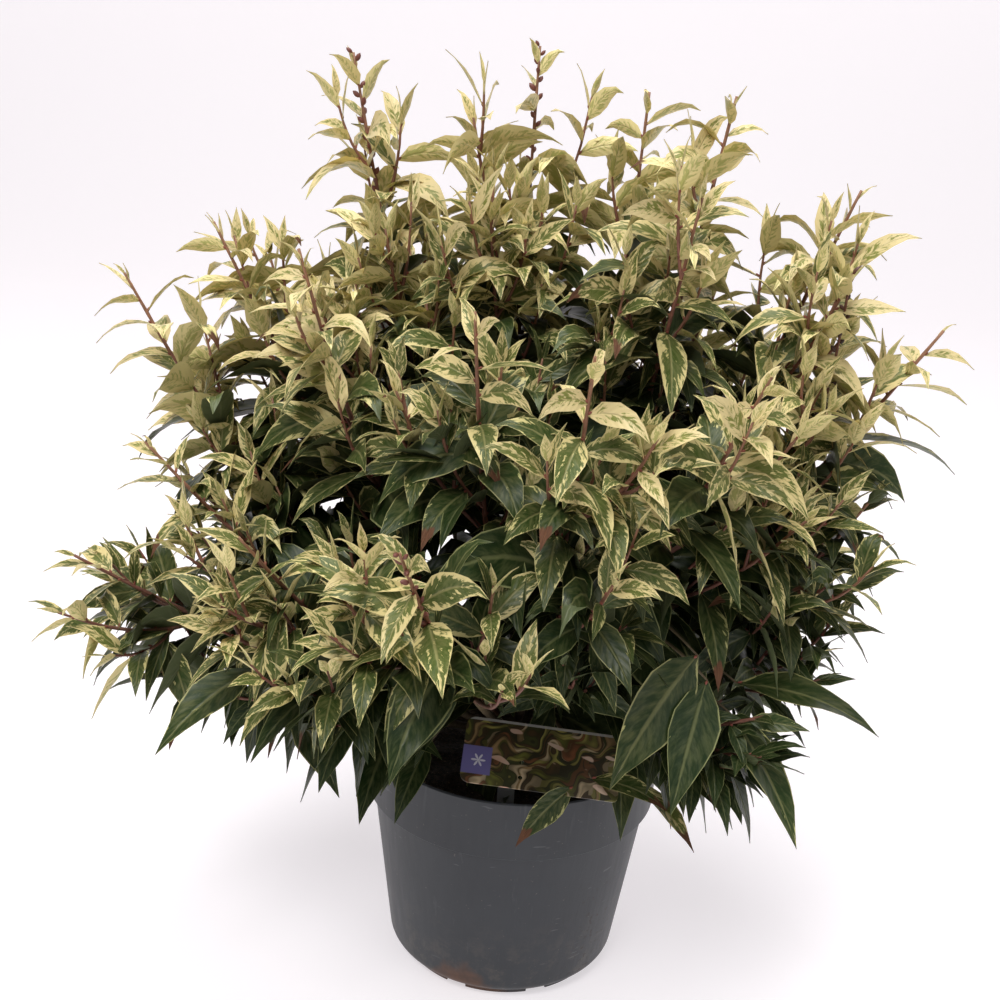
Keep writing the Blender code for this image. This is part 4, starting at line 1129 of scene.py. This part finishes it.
def make_twigs(crown, masses):
    """Twigs of all the masses, in one piece: leading and side shoots, finer twigs and dry raceme stalks."""
    groups = []
    leaders = list(crown.leaders.values())
    sides = [path for paths in crown.shoots.values() for path in paths[1:]]
    fine = [path for paths in crown.fine.values() for path in paths]
    for paths, radii, count, base in ((leaders, LEADER_RADIUS, 30, 0.0), (sides, SIDE_RADIUS, 16, 0.02),
                                      (fine, FINE_RADIUS, 8, 0.02), (crown.dry, FINE_RADIUS, 16, 0.10),
                                      (crown.rim_twigs, FINE_RADIUS, 8, 0.18)):
        if paths:
            smooth = [smoothed(path, count) for path in paths]
            older = [base + LOW_LIMBS_OLDER * (path[-1][2] < LOW_LIMB_Z) for path in paths]
            ages = [age_of(path, age, count) for path, age in zip(paths, older)]
            groups.append((smooth, [radii] * len(paths), ages))
    item = tube_piece("twigs", groups, 6, bark_finish("twig_bark", TWIG_COLOURS, 0.6), 0.16, 40)
    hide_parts(*masses)
    return item


def smoothed(path, count):
    """A path's points spaced evenly, with its corners eased by an average of near points."""
    dense = stretch(path, 0.0, 1.0, count * 3)
    eased = dense.copy()
    for _ in range(3):
        eased[1:-1] = (eased[:-2] + 2 * eased[1:-1] + eased[2:]) / 4
    return stretch(eased, 0.0, 1.0, count)


def make_canes(crown):
    """Canes with bark relief, from the short stem to the masses."""
    paths = [smoothed(path, 24) for path in crown.canes.values()]
    ages = [np.linspace(1.0, 0.0, 24)] * len(paths)
    item = tube_piece("canes", [(paths, [CANE_RADIUS] * len(paths), ages)], 10,
                      bark_finish("cane_bark", CANE_COLOURS, 0.75), 0.12, 60)
    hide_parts(*["cane_" + name for name in crown.canes])
    return item


def make_stem():
    """The short woody stem: a dome on a flared skirt, turned about Z, with knots and cracks.

    P(i, a) = (r(i) k cos a, r(i) k sin a, z(i)), k = 1 + 0.09 noise.
    """
    around = 64
    rise = np.linspace(math.pi / 2, 0.0, 22)
    radius = np.concatenate((STEM_RADIUS * np.cos(rise), (STEM_FLARE * 0.93, STEM_FLARE)))
    height = np.concatenate((STEM_SHOULDER_Z + STEM_RADIUS * np.sin(rise),
                             ((STEM_SHOULDER_Z + SOIL_TOP) / 2, SOIL_TOP + GAP)))
    angle = np.linspace(0, 2 * math.pi, around, endpoint=False)
    smooth = np.stack((radius[:, None] * np.cos(angle), radius[:, None] * np.sin(angle),
                       np.broadcast_to(height[:, None], (len(radius), around))), axis=-1)
    relief = 1 + 0.045 * ripple(smooth, 260.0, 7) + 0.030 * ripple(smooth * (2.5, 2.5, 0.6), 500.0, 8)
    points = smooth * np.stack((relief, relief, np.ones_like(relief)), axis=-1)
    down = np.linspace(0, 1, len(radius))[:, None]
    uv = np.stack(np.broadcast_arrays(angle / (2 * math.pi), down), axis=-1)
    item = make_piece("stem", points.reshape(-1, 3), grid_faces(len(radius), around, closed=True)[:, ::-1],
                      bark_finish("stem_bark", CANE_COLOURS, 0.85), uv.reshape(-1, 2))
    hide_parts("short_stem")
    return item


def make_foliage(crown, masses):
    """All leaves by class of place, the bracts at their feet, and the buds of the racemes."""
    leaves = Leaves()
    for number, (name, paths) in enumerate(crown.shoots.items()):
        chance = random.Random(LEAF_SEED + number)
        for k, path in enumerate(paths):
            bare = RACEME_LENGTH if k == 0 and name in RACEMES else 0.0
            deal_leaves(leaves, path, name, crown, chance, bare, 0.0)
        for path in crown.fine[name]:
            deal_leaves(leaves, path, name, crown, chance, 0.0, 0.012)
    crown.rim_twigs = hang_rim_leaves(leaves)
    data = leaves.arrays()
    material = leaf_finish()
    items = []
    small = data[:, 7] < LEAF_SMALL
    for size, chosen, rows in (("small", small, LEAF_ROWS[0]), ("large", ~small, LEAF_ROWS[1])):
        low, high = np.quantile(data[chosen, 2], (1 / 3, 2 / 3))
        bands = {"lower": data[:, 2] < low, "upper": data[:, 2] >= high}
        bands["middle"] = ~(bands["lower"] | bands["upper"])
        for band, inside in bands.items():
            items.append(leaf_piece("leaves_%s_%s" % (size, band), data[chosen & inside], rows, material))
    bracts = [(row[0:3], row[3:6] + (0, 0, 0.4), BRACT_LENGTH, 0.2) for row in data if row[7] > LEAF_YOUNG]
    items.append(bud_piece("bracts", bracts, 0.42, bud_finish("bract", (rgb(0.22, 0.060, 0.040),) * 2, 0.6)))
    items.append(make_buds(crown))
    for item in items:
        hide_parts(*masses)
    return items


def bud_finish(name, colours, roughness):
    """A bud's colour by its age in V."""
    bud = Finish(name, roughness)
    age = bud.split(bud.uv())[1]
    bud.set("Base Color", bud.ramp(age, colours))
    return bud.material


def make_buds(crown):
    """Buds packed round each raceme, and dark dry ones on the dry raceme."""
    buds = []
    chance = random.Random(BUD_SEED)
    stalks = [(crown.leaders[name], RACEME_LENGTH, 0.25) for name in RACEMES]
    stalks += [(path, path_length(path) * 0.75, 1.0) for path in crown.dry]
    for path, length, age in stalks:
        whole = path_length(path)
        turn = chance.uniform(0, 2 * math.pi)
        for k in range(int(length / BUD_STEP)):
            foot, heading = along(path, max(1 - (BUD_STEP * (k + 0.2)) / whole, 0.0))
            out = unit(heading + any_across(heading, turn + GOLDEN_TURN * k) * 0.9)
            size = BUD_LENGTH * chance.uniform(0.75, 1.15)
            buds.append((foot + out * 0.0008, out, size, age * chance.uniform(0.6, 1.0)))
    colours = (rgb(0.19, 0.055, 0.040), rgb(0.12, 0.045, 0.032), rgb(0.040, 0.022, 0.018))
    return bud_piece("raceme_buds", buds, 0.5, bud_finish("raceme_bud", colours, 0.5))


def make_pot():
    """The pot as a smooth turned shell with its notches and drain holes cut out."""
    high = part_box("pot")[1]
    rim = high.x
    height = high.z
    wall = POT_WALL
    collar_foot = 0.75 * height
    shoulder = rim - 0.0048
    base = 0.80 * rim
    corner = POT_CORNER
    floor = POT_FLOOR
    ring_outer, ring_inner = FOOT_RING
    turn = np.radians(np.linspace(-4, -90, 9))
    outer = [(rim - wall * 0.85, height), (rim - wall * 0.35, height), (rim, height - wall * 0.5)]
    outer += [(rim - 0.0007, collar_foot + 0.0006), (rim - 0.0012, collar_foot)]
    outer += [(shoulder, collar_foot - wall * 0.5)]
    outer += [(base - corner + corner * math.cos(a), floor + corner + corner * math.sin(a)) for a in turn]
    outer += [(ring_outer, floor), (ring_outer - wall * 0.5, 0.0), (ring_inner + wall * 0.5, 0.0)]
    outer += [(ring_inner, floor), (CENTRE_FOOT + wall * 0.5, floor), (CENTRE_FOOT, 0.0), (0.0, 0.0)]
    inner = [(0.0, floor + wall)]
    inner += [(base - corner + (corner - wall) * math.cos(a), floor + corner + (corner - wall) * math.sin(a))
              for a in turn[::-1]]
    inner += [(shoulder - wall, collar_foot), (rim - 0.0007 - wall, collar_foot + wall)]
    inner += [(rim - wall, height - wall * 0.5)]
    mesh = bpy.data.meshes.new("pot_profile")
    profile = inner + outer
    mesh.from_pydata([(r, 0.0, z) for r, z in profile], [(k, k + 1) for k in range(len(profile) - 1)], [])
    item = bpy.data.objects.new("pot_shell", mesh)
    bpy.context.scene.collection.objects.link(item)
    screw = item.modifiers.new("Turn", "SCREW")
    screw.steps = POT_STEPS
    screw.render_steps = POT_STEPS
    screw.use_merge_vertices = True
    screw.merge_threshold = 0.00005
    cutters = [pot_cutter("notch", k, ring_outer, ring_inner, floor) for k in range(NOTCHES)]
    cutters += [pot_cutter("hole", k, DRAIN_RING, DRAIN_RADIUS, floor) for k in range(DRAIN_HOLES)]
    for cutter in cutters:
        cut = item.modifiers.new("Cut", "BOOLEAN")
        cut.operation = "DIFFERENCE"
        cut.solver = "EXACT"
        cut.object = cutter
    graph = bpy.context.evaluated_depsgraph_get()
    finished = bpy.data.meshes.new_from_object(item.evaluated_get(graph))
    bpy.data.objects.remove(item, do_unlink=True)
    for cutter in cutters:
        bpy.data.objects.remove(cutter, do_unlink=True)
    finished.materials.clear()
    finished.materials.append(pot_finish())
    finished.polygons.foreach_set("use_smooth", np.full(len(finished.polygons), True))
    finished.set_sharp_from_angle(angle=math.radians(32))
    item = bpy.data.objects.new("pot_shell", finished)
    bpy.context.scene.collection.objects.link(item)
    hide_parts("pot")
    return item


def pot_cutter(kind, number, first, second, floor):
    """A box that cuts one notch of the foot ring, or a cylinder that cuts one drain hole."""
    if kind == "notch":
        turn = 2 * math.pi * (number + 0.5) / NOTCHES
        bpy.ops.mesh.primitive_cube_add(size=1.0)
        item = bpy.context.object
        item.scale = ((first - second) * 1.3, NOTCH_WIDTH, floor)
        reach = (first + second) / 2
        height = floor * 0.45
    else:
        turn = 2 * math.pi * number / DRAIN_HOLES
        bpy.ops.mesh.primitive_cylinder_add(vertices=20, radius=second, depth=6 * POT_WALL)
        item = bpy.context.object
        reach = first
        height = floor
    item.location = (reach * math.cos(turn), reach * math.sin(turn), height)
    item.rotation_euler = (0.0, 0.0, turn)
    bpy.context.view_layer.update()
    return item


def make_soil():
    """Lumpy peat: z(r, a) = level(r) + 1.6 mm of noise in two sizes, over a turned skirt and underside."""
    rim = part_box("soil")[1].x - 0.0006
    rings, around = 46, 150
    radius = np.linspace(0.0, rim, rings)
    angle = np.linspace(0, 2 * math.pi, around, endpoint=False)
    level = SOIL_TOP - 0.0028 * (radius / rim) ** 4 - 0.0008
    flat = np.stack((radius[:, None] * np.cos(angle), radius[:, None] * np.sin(angle),
                     np.broadcast_to(level[:, None], (rings, around))), axis=-1)
    flat[..., 2] += 0.0011 * ripple(flat, 210.0, 3, 11) + 0.0007 * ripple(flat, 700.0, 4, 11)
    flat[..., 2] = np.minimum(flat[..., 2], SOIL_TOP + 0.0004)
    skirt_radius = np.array((rim - 0.0006, rim * 0.94, rim * 0.80, 0.0))
    skirt_height = np.array((SOIL_TOP - 0.012, SOIL_TOP - 0.05, 0.012, 0.010))
    skirt = np.stack((skirt_radius[:, None] * np.cos(angle), skirt_radius[:, None] * np.sin(angle),
                      np.broadcast_to(skirt_height[:, None], (4, around))), axis=-1)
    points = np.concatenate((flat, skirt)).reshape(-1, 3)
    faces = grid_faces(rings + 4, around, closed=True)[:, ::-1]
    item = make_piece("peat_surface", points, faces, peat_finish())
    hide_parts("soil")
    return item


def make_label():
    """The label as a rounded plate with two rivet holes, at its place in the frame."""
    wide, deep = LABEL_SIZE
    outline = bpy.data.curves.new("label_outline", "CURVE")
    outline.dimensions = "2D"
    outline.fill_mode = "BOTH"
    outline.extrude = LABEL_THICK / 2
    outline.resolution_u = 1
    corners = ((wide / 2, deep / 2, 0.0015), (-wide / 2, deep / 2, 0.0055), (-wide / 2, -deep / 2, 0.0055),
               (wide / 2, -deep / 2, 0.0030))
    points = []
    for number, (x, y, radius) in enumerate(corners):
        centre = (x - math.copysign(radius, x), y - math.copysign(radius, y))
        for k in range(7):
            turn = math.pi / 2 * (number + k / 6)
            points.append((centre[0] + radius * math.cos(turn), centre[1] + radius * math.sin(turn)))
    loops = [points]
    for x, y in ((-0.011, -0.004), (-0.011, -0.013)):
        loops.append([(x + 0.0013 * math.cos(math.pi * k / 8), y + 0.0013 * math.sin(math.pi * k / 8))
                      for k in range(16)])
    for loop in loops:
        spline = outline.splines.new("POLY")
        spline.points.add(len(loop) - 1)
        for point, (x, y) in zip(spline.points, loop):
            point.co = (x, y, 0.0, 1.0)
        spline.use_cyclic_u = True
    flat = bpy.data.objects.new("label_flat", outline)
    bpy.context.scene.collection.objects.link(flat)
    graph = bpy.context.evaluated_depsgraph_get()
    mesh = bpy.data.meshes.new_from_object(flat.evaluated_get(graph))
    bpy.data.objects.remove(flat, do_unlink=True)
    mesh.name = "label"
    places = np.zeros(len(mesh.vertices) * 3)
    mesh.vertices.foreach_get("co", places)
    places = places.reshape(-1, 3)
    uv = places[:, :2] / (wide, deep) + 0.5
    layer = mesh.uv_layers.new(name="OFBake")
    corners_of = np.zeros(len(mesh.loops), np.int32)
    mesh.loops.foreach_get("vertex_index", corners_of)
    layer.data.foreach_set("uv", uv[corners_of].astype(np.float32).ravel())
    places = places + GAP * np.array((0.0, 0.0, 1.0))
    mesh.vertices.foreach_set("co", places.astype(np.float32).ravel())
    turn = Matrix.Rotation(LABEL_ROLL, 4, "Y") @ Matrix.Rotation(LABEL_TILT, 4, "X")
    mesh.transform(Matrix.Translation(Vector(LABEL_CENTRE)) @ turn)
    mesh.materials.clear()
    mesh.materials.append(label_finish())
    item = bpy.data.objects.new("label", mesh)
    bpy.context.scene.collection.objects.link(item)
    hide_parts("label_plate")
    return item


def finish_stake():
    """The clear stake keeps its solid and gets a glossy see-through finish."""
    clear = Finish("clear_plastic", 0.12)
    clear.set("Base Color", rgb(0.62, 0.65, 0.66))
    clear.set("Alpha", 0.55)
    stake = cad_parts["label_stake"]
    stake.data.materials.clear()
    stake.data.materials.append(clear.material)


# Studio


def make_studio():
    """A pale floor that curves up into a backdrop, soft light all round, and the photo's camera."""
    pale = Finish("pale_floor", 0.9)
    pale.set("Base Color", rgb(0.52, 0.505, 0.515))
    pale.set("Emission Color", rgb(1.0, 0.955, 0.985))
    pale.set("Emission Strength", 0.58)
    arc = np.linspace(0, math.pi / 2, 16)
    back, radius, tall = 2.2, 0.9, 4.0
    y = np.concatenate(([-3.5, 0.0], back + radius * np.sin(arc), [back + radius]))
    z = np.concatenate(([0.0, 0.0], radius - radius * np.cos(arc), [tall]))
    x = np.array((-5.0, 5.0))
    sweep = np.stack(np.broadcast_arrays(x, y[:, None], z[:, None]), axis=-1)
    floor = make_piece("floor", sweep.reshape(-1, 3), grid_faces(len(y), 2), pale.material)
    world = bpy.data.worlds.new("studio")
    world.use_nodes = True
    nodes = world.node_tree.nodes
    dim = nodes["Background"]
    dim.inputs["Color"].default_value = rgb(0.98, 0.94, 0.96)
    dim.inputs["Strength"].default_value = 0.22
    pale_sky = nodes.new("ShaderNodeBackground")
    pale_sky.inputs["Color"].default_value = rgb(0.97, 0.93, 0.95)
    either = nodes.new("ShaderNodeMixShader")
    world.node_tree.links.new(nodes.new("ShaderNodeLightPath").outputs["Is Camera Ray"], either.inputs[0])
    world.node_tree.links.new(dim.outputs[0], either.inputs[1])
    world.node_tree.links.new(pale_sky.outputs[0], either.inputs[2])
    world.node_tree.links.new(either.outputs[0], nodes["World Output"].inputs["Surface"])
    bpy.context.scene.world = world
    bpy.context.scene.view_settings.view_transform = "Standard"
    add_light("key", (-0.7, -1.3, 2.3), 1.1, 46.0)
    add_light("fill", (1.6, -1.2, 1.5), 1.4, 8.0)
    add_light("top", (0.1, 0.1, 2.4), 1.2, 34.0)
    camera = bpy.data.cameras.new("camera")
    camera.sensor_width = 36.0
    camera.lens = 46.8
    item = bpy.data.objects.new("camera", camera)
    bpy.context.scene.collection.objects.link(item)
    right = Vector((0.99724599, 0.04429846, 0.05948171))
    up = Vector((-0.07051447, 0.31781456, 0.94552716))
    ahead = Vector((-0.02298125, 0.9471175, -0.32006298))
    turn = Matrix((right, up, -ahead)).transposed().to_4x4()
    item.matrix_world = Matrix.Translation(EYE) @ turn
    bpy.context.scene.camera = item


def add_light(name, place, size, power):
    """A soft square light that faces the crown."""
    data = bpy.data.lights.new(name, "AREA")
    data.size = size
    data.energy = power
    item = bpy.data.objects.new(name, data)
    item.location = place
    item.rotation_euler = (Vector((0.0, 0.0, 0.3)) - Vector(place)).to_track_quat("-Z", "Y").to_euler()
    bpy.context.scene.collection.objects.link(item)


def main():
    """Build every piece on the frame, then the studio."""
    crown = Crown()
    masses = ["foliage_" + name for name in crown.leaders]
    pieces = [make_pot(), make_soil(), make_stem(), make_canes(crown), make_label()]
    pieces += make_foliage(crown, masses)
    pieces.append(make_twigs(crown, masses))
    for piece in pieces:
        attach(piece, "root")
    finish_stake()
    make_studio()


main()
